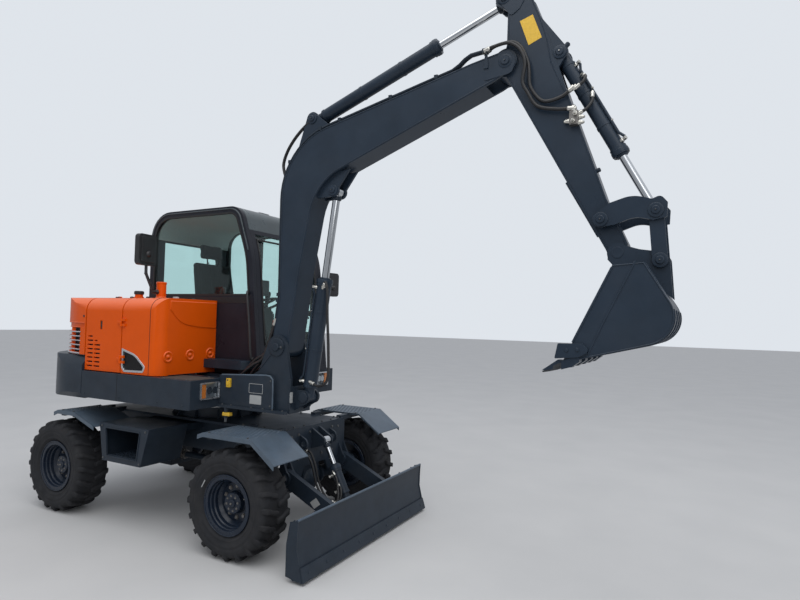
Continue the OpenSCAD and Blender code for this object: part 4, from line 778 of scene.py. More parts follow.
# Rows: front of the skirt, then from and to in y for the bezel, the clear lens and the indicator
LAMPS = ((617, -820, -620, -759, -626, -813, -764), (702, 640, 820, 646, 759, 764, 813))
for x0, lo, hi, a, b, c, d in LAMPS:
    ring = rect(lo - 4, 1152, hi + 4, 1289, 10, 4)
    bezels.band(ring, inset(ring, 11), x0 - 2, x0 + 15, "x")
    panels.prism(inset(ring, 5), x0 - 16, x0 - 12, "x")
    for y in (a + 0.27 * (b - a), a + 0.74 * (b - a)):
        bowls.lathe([(30, 9), (24, 0), (14, -6), (5, -8)], (x0 - 3, y, 1222), X, 28)
        bowls.lathe([(5, -8), (6, 0), (3, 5)], (x0 - 3, y, 1222), X, 14)
    bezels.box((x0 - 12, a, 1164), (x0 - 9, b, 1278))
    clear.prism(rect(a, 1163, b, 1278, 6, 3), x0 + 5, x0 + 9, "x")
    ambers.prism(rect(c, 1164, d, 1277, 6, 3), x0 - 10, x0 + 9, "x")
# Work lamp on the cab's roof
bezels.band(rect(182, 2858, 338, 2890, 8, 3), rect(189, 2864, 331, 2885, 5, 3), 240, 264, "x")
panels.prism(rect(184, 2857, 336, 2889, 8, 3), 232, 256, "x")
clear.prism(rect(190, 2864, 330, 2884, 4, 3), 258, 262, "x")
# Console: latches, blank plates, a white strip that is a painted glint, and an edge roll in lighter paint
# that is a painted highlight
latches = kit("upper", "yellow", "latches", 3)
latches.box((712, -634, 1250), (752, -610, 1322))
latches.box((720, -642, 1268), (744, -632, 1300))
latches.box((680, -632, 1012), (756, -592, 1040))
ubolts.lathe([(12, -70), (12, 64), (8, 70)], (704, -614, 1030), (0, 0, 1), 16)
ubolts.bolt((731, -634, 1309), (0, -1, 0), 6)
plates.lathe([(16, -44), (16, 46)], (704, -614, 1034), Z, 20)
plates_and_glint = kit("upper", "white", "blank_plates_and_painted_glint", 0.6)
plates_and_glint.prism(rect(957, 1133, 1079, 1205, 6, 3), -614, -611.5)
# This narrow white strip on the front of the boom-foot bracket is a painted glint
plates_and_glint.prism(rect(-578, 1166, -546, 1250, 5, 3), 1334, 1343, "x")
ring = rect(946, 1220, 1091, 1297, 5, 3)
plates_and_glint.band(ring, inset(ring, 3.5), -614, -611.5)
# A bar in lighter deck paint along the console's top and front edge: a painted highlight
roll = side(-606, [(640, 1347), (1120, 1371), (1160, 1366), (1186, 1340), (1190, 1250), (1190, 1110)])
kit("upper", "deck", "console_edge_painted_highlight").tube(roll, 7, 10)
for x in (660, 760, 980, 1100, 1200, 1300):
    ubolts.bolt((x, -616, 1102), Z, 8)
for z in (1130, 1330):
    ubolts.bolt((1170, -612, z), (0, -1, 0), 7)
# Boom foot: bosses, pin keepers and stiffeners on the outsides of the bearing plates
PLATE_OUT = 133
for s in SIDES:
    y = BOOM_Y + s * PLATE_OUT
    boss(plates, [(74, -1), (74, 9), (68, 13), (36, 13)], BOOM_FOOT, PLATE_OUT, s, 40)
    boss(plates, [(32, 0), (32, 22), (28, 26), (6, 26)], BOOM_FOOT, PLATE_OUT, s, 28)
    plates.box((1205, min(y, y + s * 20), 1592), (1262, max(y, y + s * 20), 1610))
    ubolts.bolt((1248, y + s * 20, 1601), (0, s, 0), 9)
    plates.tube(curve(side(y, [(1010, 1404), (1110, 1516), (1150, 1560)]), 4), 6, 8)
    plates.tube([(1335, y, 1110), (1335, y, 1352)], 7, 8)
for s in SIDES:
    boss(plates, [(44, 0), (44, 8), (38, 12), (8, 12)], BOOM_CYL_FOOT, 73, s, 28)
ubolts.ring_of_bolts((1336, BOOM_Y, 1190), X, 62, 4, 9, 45)
# Bolts of the swing bearing, and the counterweight's cast rings
ubolts.ring_of_bolts((0, 0, 1104), Z, 372, 18, 12)
weight = kit("upper", "frame", "counterweight_details", 3)
for s in SIDES:
    c, t = math.cos(math.radians(168)), math.sin(math.radians(168)) * s
    weight.lathe([(24, -3), (23, 3), (17, 3), (15, -4)], (1650 * c, 1650 * t, 1160), (c, t, 0), 20)
seal = kit("upper", "seal", "hood_seal", 1)
seal.prism(tail_plan(12, -780) + tail_plan(-4, -780)[::-1], 1448, 1457, "z")
# Engine: cover, filter, silencer, pulleys, fins and lines on its block
motor = kit("upper", "engine", "engine_details", 4)
motor.prism(rounded([(-1280, 1712, 12), (-900, 1712, 12), (-920, 1775, 30), (-1260, 1775, 30)]), -240, 180)
motor.lathe([(84, -190), (92, -180), (92, 180), (84, 190), (30, 196)], (-1120, 250, 1830), X, 32)
motor.lathe([(74, -210), (84, -200), (84, 200), (74, 210), (24, 216)], (-1060, -300, 1800), X, 32)
motor.tube(curve([(-1000, -300, 1880), (-960, -260, 1905), (-900, -250, 1850), (-880, -250, 1740)]), 32, 16)
for y, z, r in ((0, 1330, 95), (60, 1560, 62)):
    pulley = [(r, 0), (r, 14), (r - 10, 18), (r - 10, 26), (r, 30), (r, 44), (24, 50)]
    motor.lathe(pulley, (-1320, y, z), -X, 36)
for x in range(-1240, -939, 50):
    motor.box((x, -420, 1180), (x + 24, -398, 1640))
lines = kit("upper", "hose", "engine_hoses")
lines.tube(curve([(-1120, 160, 1830), (-1120, 60, 1840), (-1080, 0, 1800), (-1040, -40, 1765)]), 26, 14)
path = [(-1300, -300, 1650), (-1380, -340, 1600), (-1370, -380, 1300), (-1300, -396, 1200)]
lines.tube(curve(path), 20, 12)


# Engine hood and side door


def level(outline, z):
    """Points of a plan, put at a height."""
    return [(p.x, p.y, z) for p in outline]


slats = kit("hood", "silver", "grille_edges")
for k in range(6):
    slats.tube(level(tail_plan(18, -852), 1456 + 40.17 * k + (4.5 if k else 9)), 5.5 if k else 8, 8)
screen = kit("hood", "dark", "grille_screen")
outer = tail_plan(-24, -852)
screen.prism(outer + tail_plan(-28, -852)[::-1], 1452, 1708, "z")
for p in outer:
    screen.tube([(p.x, p.y, 1452), (p.x, p.y, 1706)], 2.2, 6)
for k in range(24):
    screen.tube(level(outer, 1460 + 10.4 * k), 1.3, 4)
hood = kit("hood", "orange", "hood_details", 1.5)
hood.tube(level(tail_plan(17, -798), 1747), 5, 8)
hood.tube(level(tail_plan(8, -866), 1704), 4, 8)
locks = kit("hood", "plastic", "hood_locks", 1)
for s in SIDES:
    locks.lathe([(11, -3), (11, 2), (8, 3.5), (5, 0.5)], (-808, s * 900, 1807), (0, s, 0), 20)
locks.prism(rect(-70, 1752, 70, 1790, 10, 4), -1588, -1572, "x")
locks.tube(curve([(-1586, -50, 1770), (-1604, -40, 1770), (-1604, 40, 1770), (-1586, 50, 1770)], 4), 7, 10)
latch = kit("side_door", "plastic", "side_door_latch", 2)
latch.prism(rect(-568, 1693, -544, 1769, 5, 3), -891, -886)
latch.box((-563, -898, 1712), (-549, -890, 1764))
latch.lathe([(6, 0), (6, 3), (4, 4)], (-556, -891, 1702), (0, -1, 0), 14)
kit("side_door", "dark", "side_door_screen").box((-748, -876, 1346), (-552, -872, 1648))
for x in (-757, -284):
    kit("side_door", "seal", "side_door_seal", 1).tube([(x, -872, 1330), (x, -872, 1850)], 7, 8)


# Side cover: vent, front dimples, raised front panel, seam, cap and rubber buffers

VENT = rounded([
    (-256, 1372), (-222, 1334, 20), (26, 1340, 25), (48, 1392, 20), (-80, 1492, 200), (-256, 1536),
], 5)
kit("upper", "silver", "vent_frame", 1.5).band(inset(VENT, -1), inset(VENT, 17), -903.5, -886)
net = kit("upper", "dark", "vent_mesh")
net.prism(inset(VENT, 3), -888, -883.5)
for axis, start, stop in ((0, -250, 40), (1, 1345, 1530)):
    for k in range(start, stop, 9):
        ends = crossings(inset(VENT, 16), k, axis)
        for a, b in zip(ends[::2], ends[1::2]):
            net.tube(side(-889, [(k, a), (k, b)] if axis == 0 else [(a, k), (b, k)]), 1.5, 5)
cover = kit("upper", "orange", "cover_details", 1.5, 30)
DIMPLE = [(50, -1), (49, 3), (44, 7), (38, 7.5), (32, 4), (25, -0.5), (18, 0), (15, 6), (9, 10), (2, 11)]
for y, z in ((-796, 1479), (-561, 1487), (-329, 1496)):
    cover.lathe(DIMPLE, (200, y, z), X, 40)
swoosh = curve([(-795, 1884), (-765, 1856), (-685, 1780), (-574, 1746), (-400, 1728), (-272, 1722)], 5)
panel = kit("upper", "orange", "cover_front_panel", 5, 25)
panel.prism(swoosh + flat((-272, 1958), (-795, 1958)), 196, 207, "x")
gap = kit("upper", "dark", "cover_seams")
seam = flat((-900.4, 1322), *arc(-780, 1860, 120.4, 180, 90, 10), (-420, 1980.4), (-266, 1980.4))
gap.tube([(90, *p) for p in seam], 2.2, 6)
gap.tube([(200.5, -790, 1323), (200.5, -270, 1323)], 2.5, 6)
cap = kit("upper", "plastic", "fuel_cap", 1.2)
cap.lathe([(36, 0), (39, 4), (39, 28), (35, 33), (14, 34)], (-289, -728, 2012), Z, 36)
for p in circle_path((-289, -728, 2028), Z, 39, 18):
    cap.lathe([(3.4, -12), (3.4, 12)], p, Z, 8)
for x, y in ((-362, -745), (-135, -755), (-330, -560), (60, -420)):
    cap.lathe([(17, -2), (16, 9), (11, 14), (3, 15)], (x, y, 1980), Z, 20)
pale = kit("upper", "white", "sight_cap", 1)
pale.lathe([(26, -2), (26, 10), (21, 16), (5, 17)], (130, -677, 1980), Z, 24)
cover.lathe([(58, -1), (56, 5), (46, 10), (42, 22)], (-155, -600, 1980), Z, 36)
cover.lathe([(42, 0), (46, 8), (46, 18), (38, 22), (24, 22)], (-155, -600, 2112), Z, 36)
boot = kit("upper", "plastic", "mirror_boot", 1)
boot.lathe([(23, 0), (20, 8), (16, 14), (15, 34)], (-155, -642, 2040), (0, -1, 0), 20)


# Cab


def cab_outline(d, n=10):
    """Side view of the cab, moved inwards by d."""
    low, top = UPPER_TOP + d, ROOF_TOP - d
    rows = [(-750 + d, low), (-750 + d, top, 260 - d), (445 - d, top, 170 - d), (600 - d, 2400, 900)]
    return rounded([*rows, (722 - d * 0.97, low)], n)


def front_x(z):
    """Front of the cab's outline at a height."""
    return crossings(cab_outline(0), z, 1)[-1]


rubber = kit("upper", "seal", "window_seals", 1.2)
right = rounded([(-695, 2030, 22), (-695, 2805, 205), (390, 2805, 115), (545, 2400, 900), (586, 2030, 22)], 8)
rubber.band(inset(right, -2), inset(right, 15), -263, -247)
rubber.band(inset(right, 1), inset(right, 12), -242, -228)
quarter = rounded([(-695, 2030, 22), (-695, 2805, 205), (-330, 2805, 22), (-330, 2030, 22)], 8)
rubber.band(inset(quarter, -2), inset(quarter, 15), 750, 783)
rear = rect(-120, 2030, 640, 2600, 30)
rubber.band(inset(rear, -3), inset(rear, 14), -753, -733, "x")
pane = rounded([(-210, 1680, 30), (-210, 2730, 60), (290, 2730, 110), (477, 2400, 240), (560, 1680, 30)], 8)
kit("cab_door", "seal", "door_window_seal", 1.2).band(inset(pane, -4), inset(pane, 14), 757, 784)
screen_edge = [(front_x(z) + 1, z) for z in range(1590, 2600, 60)]
rubber.tube(side(-148, screen_edge) + side(668, screen_edge)[::-1], 9, 8, closed=True)
# Wiper on the windscreen
wiper = kit("upper", "plastic", "wiper", 0.8)
path = [(front_x(z) + 24, 250 + (z - 1640) * 0.16, z) for z in (1640, 1800, 1960, 2120)]
wiper.tube(path, [7, 5.5, 4.5, 4], 8)
wiper.lathe([(20, -16), (20, 14), (14, 20), (4, 22)], (front_x(1640), 250, 1640), X, 20)
wiper.tube([(front_x(z) + 12, 330, z) for z in range(1880, 2380, 50)], 5, 6)
# Roof: a raised panel, rails along its edges, and its liner
roof = kit("upper", "roof", "roof_details", 4, 30)
roof.prism(rect(-470, -120, 200, 640, 60), ROOF_TOP - 4, ROOF_TOP + 14, "z")
for y in (-263, 783):
    roof.tube(side(y, [p for p in cab_outline(24, 14) if p.y > 2440]), 7, 8)
above, below = ([p for p in cab_outline(d, 12) if p.y > 2580] for d in (46, 64))
kit("upper", "liner", "headliner").prism(above + below[::-1], -214, 734)
trim = kit("upper", "plastic", "cab_trim", 3)
trim.prism(rounded([(-700, 1365, 10), (-640, 1365, 10), (-640, 2020, 40), (-700, 2020, 10)]), -205, 725)
for y in (-213, 700):
    trim.prism(flat((560, 1400), (640, 1400), (612, 2010), (540, 2010)), y, y + 24)
trim.box((-500, -213, 1362), (560, 733, 1372))
# Screen on its bracket at the right wall
trim.prism(rect(-30, 2040, 110, 2190, 14, 4), 470, 496, "x")
trim.tube(curve([(482, -20, 2050), (490, -120, 2020), (520, -205, 1990)], 5), 12, 10)
kit("upper", "glass", "screen_face").prism(rect(-18, 2052, 98, 2178, 6, 3), 465, 469, "x")
# Gaiters, grips and buttons of the levers, their arm rests, and the pedals
levers = kit("upper", "plastic", "control_details", 1.5)
GAITER = [(44, 0), (40, 10), (44, 16), (34, 26), (38, 32), (26, 44), (29, 50), (16, 62)]
GRIP = [(16, 0), (23, 16), (21, 50), (26, 84), (27, 112), (20, 128), (8, 133)]
CONSOLE = rounded([(-330, 1878, 14), (110, 1878, 30), (96, 1908, 26), (-300, 1902, 14)])
ARM_REST = rounded([(-260, 1940, 24), (30, 1925, 24), (30, 1955, 18), (-260, 1980, 24)])
for s in SIDES:
    y = SEAT_Y + s * 325
    levers.lathe(GAITER, (60, y, 1878), Z, 28)
    levers.lathe(GRIP, (60, y, 1985), (0.12, 0, 1), 24)
    levers.prism(CONSOLE, y - 52, y + 52)
    levers.prism(ARM_REST, y - s * 8 - 38, y - s * 8 + 38)
    for k in range(4):
        levers.lathe([(9, 0), (9, 5), (6, 7)], (96, y - 30 + 20 * k, 1895), Z, 14)
    for x in range(462, 539, 19):
        pedal_y = SEAT_Y + s * 70
        levers.box((x, pedal_y - 38, 1398), (x + 8, pedal_y + 38, 1405))
# Grab rails, door handles and mirrors
rails = kit("upper", "plastic", "grab_rails")
path = [(-640, 780, 2000), (-640, 815, 1990), (-640, 818, 1700), (-640, 815, 1420), (-640, 780, 1410)]
rails.tube(curve(path, 6), 12, 12)
path = [(585, -260, 2050), (600, -300, 2040), (640, -306, 1760), (665, -300, 1480), (660, -260, 1470)]
rails.tube(curve(path, 6), 11, 12)
handle = kit("cab_door", "plastic", "door_handle", 2)
handle.prism(rect(400, 1860, 520, 1920, 14, 4), 779, 788)
handle.tube(curve([(415, 786, 1890), (425, 808, 1890), (495, 808, 1890), (505, 786, 1890)], 5), 9, 10)
handle.lathe([(11, 0), (11, 5), (7, 7)], (458, 786, 1842), Y, 18)
path = [(300, 735, 1800), (300, 700, 1800), (460, 690, 1830), (530, 700, 1990), (530, 735, 2000)]
handle.tube(curve(path, 6), 10, 10)
mirror = kit("upper", "mirror", "mirror_faces")
shell = kit("upper", "plastic", "mirror_details", 2)
for at, w, h, turn in (((-165, -770, 2270), 210, 275, 8), ((660, 915, 2080), 180, 250, -8)):
    mirror.frame = shell.frame = Matrix.Translation(at) @ Matrix.Rotation(math.radians(turn), 4, "Z")
    face = rect(-w / 2, 0, w / 2, h, 35)
    mirror.prism(inset(face, 14), -25, -22, "x")
    shell.band(face, inset(face, 11), -27, -20, "x")
    shell.prism(inset(face, 26), 20, 29, "x")
    shell.lathe([(30, 18), (28, 34), (18, 44), (6, 47)], (0, 0, h * 0.36), X, 24)
# Mounts of the cab on the slewing frame, and a band along the sill
for x in (-700, 560):
    for y in (-200, 720):
        trim.lathe([(46, -4), (46, 6), (30, 10)], (x, y, UPPER_TOP + 3), Z, 24)
sill = rounded([(-690, 1960, 6), (590, 1960, 6), (583, 2014, 6), (-690, 2014, 6)], 3)
kit("upper", "dark", "sill_bands", 1).prism(sill, -262.5, -259)


# Seat: three upholstered pads with sewn channels, on a shell


def applied(obj):
    """Turn the modifiers of a piece into its mesh."""
    shape = bpy.data.meshes.new_from_object(obj.evaluated_get(bpy.context.evaluated_depsgraph_get()))
    obj.modifiers.clear()
    obj.data = shape


CLOTH_FRAMES = 20
# Grooves in the pads: depth and width, in mm
CHANNEL, SEAM = (4.5, 5), (3.5, 4)


def inflate(obj, cap):
    """Fill a closed pad as cloth under a little pressure, moving no point further than cap."""
    start = [v.co.copy() for v in obj.data.vertices]
    cloth = obj.modifiers.new("cloth", "CLOTH")
    cloth.settings.quality = 5
    cloth.settings.use_pressure = True
    cloth.settings.uniform_pressure_force = 4
    cloth.settings.effector_weights.gravity = 0
    cloth.point_cache.frame_start = 1
    cloth.point_cache.frame_end = CLOTH_FRAMES
    for n in range(1, CLOTH_FRAMES + 1):
        bpy.context.scene.frame_set(n)
    swollen = obj.evaluated_get(bpy.context.evaluated_depsgraph_get()).to_mesh()
    moves = [v.co - p for v, p in zip(swollen.vertices, start)]
    obj.modifiers.clear()
    bpy.context.scene.frame_set(1)
    for v, p, move in zip(obj.data.vertices, start, moves):
        v.co = p + move * min(1, cap / max(move.length, 1e-9))


def groove(p, plane, size):
    """Depth at p of a groove along a plane of (normal, offset)."""
    depth, width = size
    return depth * math.exp(-(((p.dot(plane[0]) - plane[1]) / width) ** 2))


def pad(name, outline, y0, y1, channels, seam):
    """Pad with an outline in the side view. Channels and the seam are planes of (normal, offset)."""
    form = Kit("fabric", 0, 180)
    form.prism(rounded(outline, 6), y0, y1)
    obj = form.finish(name)
    remesh = obj.modifiers.new("remesh", "REMESH")
    remesh.mode = "VOXEL"
    remesh.voxel_size = 0.008
    smooth = obj.modifiers.new("smooth", "SMOOTH")
    smooth.factor = 0.5
    smooth.iterations = 8
    applied(obj)
    inflate(obj, 0.012)
    obj.modifiers.new("fine", "SUBSURF").levels = 1
    applied(obj)
    shift = Vector((SHIFT_X / 1000, 0, 0))
    moves = []
    for v in obj.data.vertices:
        p = (v.co - shift) * 1000
        on_front = v.normal.x > 0.5 or v.normal.z > 0.6
        deep = sum(groove(p, plane, CHANNEL) for plane in channels if on_front)
        if abs(v.normal.dot(seam[0])) < 0.8:
            deep += groove(p, seam, SEAM)
        moves.append(v.normal * -deep / 1000)
    for v, move in zip(obj.data.vertices, moves):
        v.co += move
    for face in obj.data.polygons:
        face.use_smooth = True
    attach(obj, "upper")
    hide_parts("seat")


lanes = [(Y, SEAT_Y + k) for k in (-165, -99, -33, 33, 99, 165)]
lean = Vector((0.98, 0, 0.19)).normalized()
cushion = [(116, 1712, 45), (116, 1816, 45), (-262, 1806, 30), (-330, 1800, 30), (-330, 1712, 30)]
pad("seat_cushion", cushion, 20, 500, [*lanes, (X, -20)], (Z, 1776))
back = [(-268, 1824, 30), (-388, 2396, 45), (-470, 2396, 45), (-372, 1740, 40), (-280, 1740, 30)]
pad("seat_back", back, 22, 498, lanes, (lean, lean.dot(Vector((-335, 0, 1830)))))
headrest = [(-405, 2436, 30), (-424, 2586, 45), (-494, 2586, 45), (-478, 2436, 30)]
pad("seat_headrest", headrest, 130, 390, [], (lean, lean.dot(Vector((-450, 0, 2500)))))
stand = kit("upper", "plastic", "seat_shell", 4)
stand.prism(rounded([(110, 1698, 10), (110, 1722, 10), (-300, 1722, 10), (-300, 1698, 10)], 4), 40, 480)
stand.prism(rounded([(-372, 1720, 20), (-474, 2330, 30), (-488, 2326, 10), (-404, 1720, 20)], 5), 60, 460)
for y in (200, 320):
    stand.tube([(-432, y, 2385), (-446, y, 2450)], 7, 12)
    stand.lathe([(14, 0), (14, 6), (9, 9)], (-430, y, 2392), (-0.2, 0, 1), 16)
for y in (8, 512):
    rest = rounded([(-250, 1720, 20), (60, 1720, 20), (40, 1752, 14), (-230, 1776, 20)], 4)
    stand.prism(rest, y - 7, y + 7)
belt = kit("upper", "seal", "seat_belt", 1)
strap = curve([
    (-290, 14, 1770), (-290, 60, 1846), (-280, 180, 1858), (-270, 340, 1856), (-280, 460, 1840),
    (-290, 508, 1770),
], 5)
belt.loft([[p + Vector(d) for d in ((-23, 0, 0), (23, 0, 0), (23, 0, 3), (-23, 0, 3))] for p in strap])
belt.box((-300, 150, 1858), (-245, 215, 1874))


# Boom

beads = kit("boom", "boom", "boom_details", 1.2)
bnuts = kit("boom", "bolt", "boom_bolts")
outline = rounded([
    (1105, 1640), (1168, 2000, 300), (1155, 3242, 545), (2790, 3618, 200), (3040, 3664, 30), (3050, 3524, 30),
    (2960, 3468, 60), (1493, 2907, 436), (1363, 2220, 800), (1278, 1640),
], 12)
# Thick plate round the tip
tip = rounded([
    (2880, 3474, 40), (3080, 3500, 40), (3110, 3588, 60), (3060, 3664, 50), (2990, 3648, 40),
    (2900, 3520, 20),
], 6)
for s in SIDES:
    beads.tube(side(BOOM_Y + s * (BOOM_HALF - 0.5), inset(outline, 9)), 4.5, 6, closed=True)
    pin_head(beads, bnuts, BOOM_TIP, BOOM_HALF, s, 30)
    pin_head(beads, bnuts, ARM_CYL_FOOT, 73, s)
    pin_head(beads, bnuts, BOOM_CYL_EYE, 64, s)
    beads.prism(tip, BOOM_Y + s * BOOM_HALF, BOOM_Y + s * (BOOM_HALF + 5))
    boss(beads, [(84, -1), (84, 4), (80, 5), (33, 5)], BOOM_FOOT, BOOM_HALF, s, 36)
# Pipes along the boom's back, spreading where they rise to its tip
pipes = kit("boom", "frame", "boom_pipes")
clamps = kit("boom", "frame", "boom_clamps", 1)
run = rounded([(1117, 1800), (1148, 2000, 300), (1135, 3258, 563), (2640, 3604)], 12)
rise = flat((2700, 3625), (2745, 3652), (2795, 3668), (2890, 3676))
for s in SIDES:
    for near, far in ((52, 98), (80, 121)):
        spread = [(p.x, BOOM_Y + s * (near + (far - near) * min(1, (p.x - 2640) / 155)), p.y) for p in rise]
        pipes.tube(side(BOOM_Y + s * near, run) + spread, 10, 10)
for p in [*(run[k] for k in (1, 13, 19, 25)), *flat((1700, 3388), (2150, 3492), (2520, 3577))]:
    for y in (-506, -374):
        clamps.box((p.x - 14, y - 30, p.y - 14), (p.x + 14, y + 30, p.y + 14))
        bnuts.bolt((p.x, y, p.y + 13), Z, 7)
for s in SIDES:
    y = BOOM_Y + s * 109
    beads.prism(flat((2884, 3560), (2916, 3560), (2908, 3668), (2892, 3668)), y - s * 10, y - s * 1)
    clamps.box((2878, y - 23, 3662), (2914, y + 23, 3690))
    bnuts.bolt((2896, y, 3690), Z, 8)
# Hoses over the tip to the arm, and from the frame into the pipes at the boom's foot
hose("tip_hose_a", ("boom", "arm"), [
    (2903, -561, 3676), (2962, -566, 3690), (3064, -570, 3692), (3140, -570, 3636), (3176, -568, 3539),
    (3160, -560, 3420), (3195, -556, 3340), (3257, -550, 3245), (3376, -546, 3208), (3478, -545, 3197),
], 12)
hose("tip_hose_b", ("boom", "arm"), [
    (2903, -538, 3676), (2970, -541, 3704), (3077, -545, 3706), (3140, -546, 3660), (3186, -546, 3560),
    (3200, -550, 3487), (3212, -548, 3375), (3290, -544, 3275), (3400, -540, 3282), (3478, -538, 3330),
], 12)
hose("tip_hose_c", ("boom", "arm"), [
    (2903, -342, 3676), (2970, -338, 3700), (3077, -332, 3700), (3150, -322, 3630), (3190, -322, 3520),
    (3200, -330, 3420), (3260, -345, 3330), (3330, -356, 3290),
], 12)
for k, (y, deep) in enumerate(((-520, 60), (-492, 20), (-388, 20), (-360, 60))):
    rows = [(720, 1290), (800, 1400 - deep / 2), (900, 1500 - deep), (1000, 1560 - deep)]
    path = side(y, [*rows, (1074, 1670), (1117, 1802)])
    hose(f"foot_hose_{k}", ("upper", "boom"), path, 13)
loops = kit("boom", "hose", "boom_loops")
for y in (-508, -496):
    path = side(y, [(1182, 2960), (1150, 3030), (1138, 3110), (1180, 3215), (1262, 3318), (1372, 3405)])
    loops.tube(curve([*path, (1440, y + 6, 3418), (1490, y + 14, 3372)]), 9, 10)


# Cylinders: glands, ports with their pipe, and eyes. Rows are the name, foot, eye and y, the length and
# radius of the barrel, the radii of the rod and its eye, and half the width of that eye

CYLINDERS = (
    ("boom", BOOM_CYL_FOOT, BOOM_CYL_EYE, BOOM_Y, 950, 56, 30, 40, 36),
    ("arm", ARM_CYL_FOOT, ARM_CYL_EYE, BOOM_Y, 1150, 52, 27, 42, 36),
    ("bucket", BUCKET_CYL_FOOT, ROCKER_TIP, BOOM_Y, 790, 46, 25, 42, 72),
    ("blade", BLADE_CYL_FOOT, BLADE_CYL_EYE, 0, 330, 42, 22, 36, 36),
)


def collar(r, half):
    return [(r - 1, -half), (r + 3, -half), (r + 3, half), (r - 1, half)]


for name, foot, eye, y, length, r, rod_r, eye_r, half in CYLINDERS:
    reach = (Vector(eye) - Vector(foot)).length
    d = (Vector(eye) - Vector(foot)).normalized()
    barrel = kit(name + "_barrel", "boom", name + "_barrel_details", 1)
    ports = kit(name + "_barrel", "zinc", name + "_barrel_ports", 0.8)
    rod = kit(name + "_rod", "frame", name + "_rod_details", 0.8)
    for piece in (barrel, ports, rod):
        piece.frame = Matrix(((d.x, 0, -d.y, foot[0]), (0, 1, 0, y), (d.y, 0, d.x, foot[1]), (0, 0, 0, 1)))
    gland = [(r - 1, -6), (r + 6, -6), (r + 9, -3), (r + 9, 20), (r + 6, 24), (r - 1, 24)]
    barrel.lathe(gland, (length - 30, 0, 0), X, 36, closed=True)
    scraper = [(rod_r + 1, -2), (rod_r + 14, -2), (rod_r + 14, 8), (rod_r + 3, 13), (rod_r + 1, 13)]
    barrel.lathe(scraper, (length, 0, 0), X, 28, closed=True)
    barrel.lathe(collar(r, 8), (90, 0, 0), X, 36, closed=True)
    out = Vector((0, 0.94, 0.34)) if name == "arm" else Vector((0, -0.5, 0.87))
    for x in (118, length - 74):
        ports.lathe([(15, r - 6), (15, r + 12), (11, r + 16), (11, r + 24)], (x, 0, 0), out, 16)
        ports.lathe([(14, r + 22), (14, r + 36)], (x, 0, 0), out, 6)
    if name != "blade":
        bends = ((132, 31), (170, 10), (length - 130, 10), (length - 84, 31))
        barrel.tube([out * (r + up) + Vector((x, 0, 0)) for x, up in bends], 9, 10)
        for x in (length * 0.4, length * 0.72):
            barrel.lathe(collar(r, 9), (x, 0, 0), X, 36, closed=True)
            ports.bolt(out * (r + 18) + Vector((x, 0, 0)), out, 7)
    rod.lathe([(rod_r + 10, 0), (rod_r + 10, 26), (rod_r + 2, 34)], (reach - eye_r + 2, 0, 0), -X, 28)
    for s in SIDES:
        face = [(eye_r - 2, half - 1), (eye_r - 2, half + 3), (27, half + 3)]
        rod.lathe(face, (reach, 0, 0), (0, s, 0), 32)
    rod.lathe([(6, eye_r - 3), (6, eye_r + 6), (3, eye_r + 9)], (reach, 0, 0), Z, 10)
hose("boom_cylinder_hose", ("boom_barrel",), [
    (1478, -490, 1330), (1560, -500, 1310), (1640, -502, 1370), (1640, -502, 1600), (1622, -502, 1850),
    (1612, -500, 2050), (1590, -496, 2120), (1568, -490, 2092),
], 11)
# Arm: edge beads, bosses, pipes, valve block and a blank yellow plate
arm = kit("arm", "boom", "arm_details", 1.2)
fittings = kit("arm", "zinc", "arm_fittings")
outline = rounded([
    (2955, 4012, 10), (2970, 4092, 50), (3080, 4118, 60), (3190, 4030, 60), (3262, 3850, 250),
    (3310, 3700, 60), (3340, 3534, 60), (3458, 3264), (3684, 2616), (3806, 2330, 40), (3786, 2228),
    (3726, 2218), (3692, 2300), (3080, 3416, 60), (3006, 3562, 20), (3038, 3708, 40), (3040, 3940, 20),
], 8)
tip = rounded([
    (2972, 4020, 10), (2985, 4080, 40), (3075, 4104, 50), (3168, 4024, 40), (3120, 3940, 30),
    (3060, 3900, 20),
], 5)
for s in SIDES:
    arm.tube(side(BOOM_Y + s * (ARM_HALF - 0.5), inset(outline, 8)), 4, 6, closed=True)
    pin_head(arm, fittings, ARM_CYL_EYE, ARM_HALF, s)
    pin_head(arm, fittings, BUCKET_CYL_FOOT, 73, s)
    boss(arm, [(80, -1), (80, 4), (76, 6), (32, 6)], BOOM_TIP, ARM_HALF, s, 40)
    boss(arm, [(46, -1), (46, 30), (40, 34), (26, 34)], ROCKER_PIN, ARM_HALF, s)
    arm.prism(tip, BOOM_Y + s * ARM_HALF, BOOM_Y + s * (ARM_HALF + 5))
    arm.tube(side(BOOM_Y + s * 62, [(3442, 2738), (3520, 2600), (3640, 2384)]), 10, 8)
arm.lathe([(14, -4), (14, 22), (9, 27)], (3618, -478, 2800), (0.94, 0, 0.34), 16)
arm.lathe([(16, -6), (16, 22), (9, 28)], (3424, -502, 3624), (0.7, 0, 0.7), 18)
valves = kit("arm", "worn", "arm_valve_block", 2)
valves.box((3462, -560, 3090), (3516, -500, 3180))
valves.box((3470, -516, 3100), (3508, -480, 3150))
for at, to in (
    ((3490, -545, 3180), Z), ((3462, -535, 3120), -X), ((3516, -530, 3140), X), ((3516, -545, 3100), X),
    ((3486, -560, 3110), -Y), ((3500, -560, 3155), -Y),
):
    fittings.lathe([(15, 0), (15, 14), (12, 16), (12, 26)], at, to, 6)
    fittings.lathe([(9, 26), (9, 34), (5, 38)], at, to, 12)
yellow = kit("arm", "yellow", "arm_blank_plate", 0.5)
for s in SIDES:
    plate = flat((3121, 3851), (3208, 3877), (3270, 3711), (3183, 3675))
    yellow.prism(plate, BOOM_Y + s * (ARM_HALF - 0.2), BOOM_Y + s * (ARM_HALF + 1.4))
path = [(3500, -538, 3330), (3540, -536, 3362), (3552, -520, 3400), (3530, -496, 3420)]
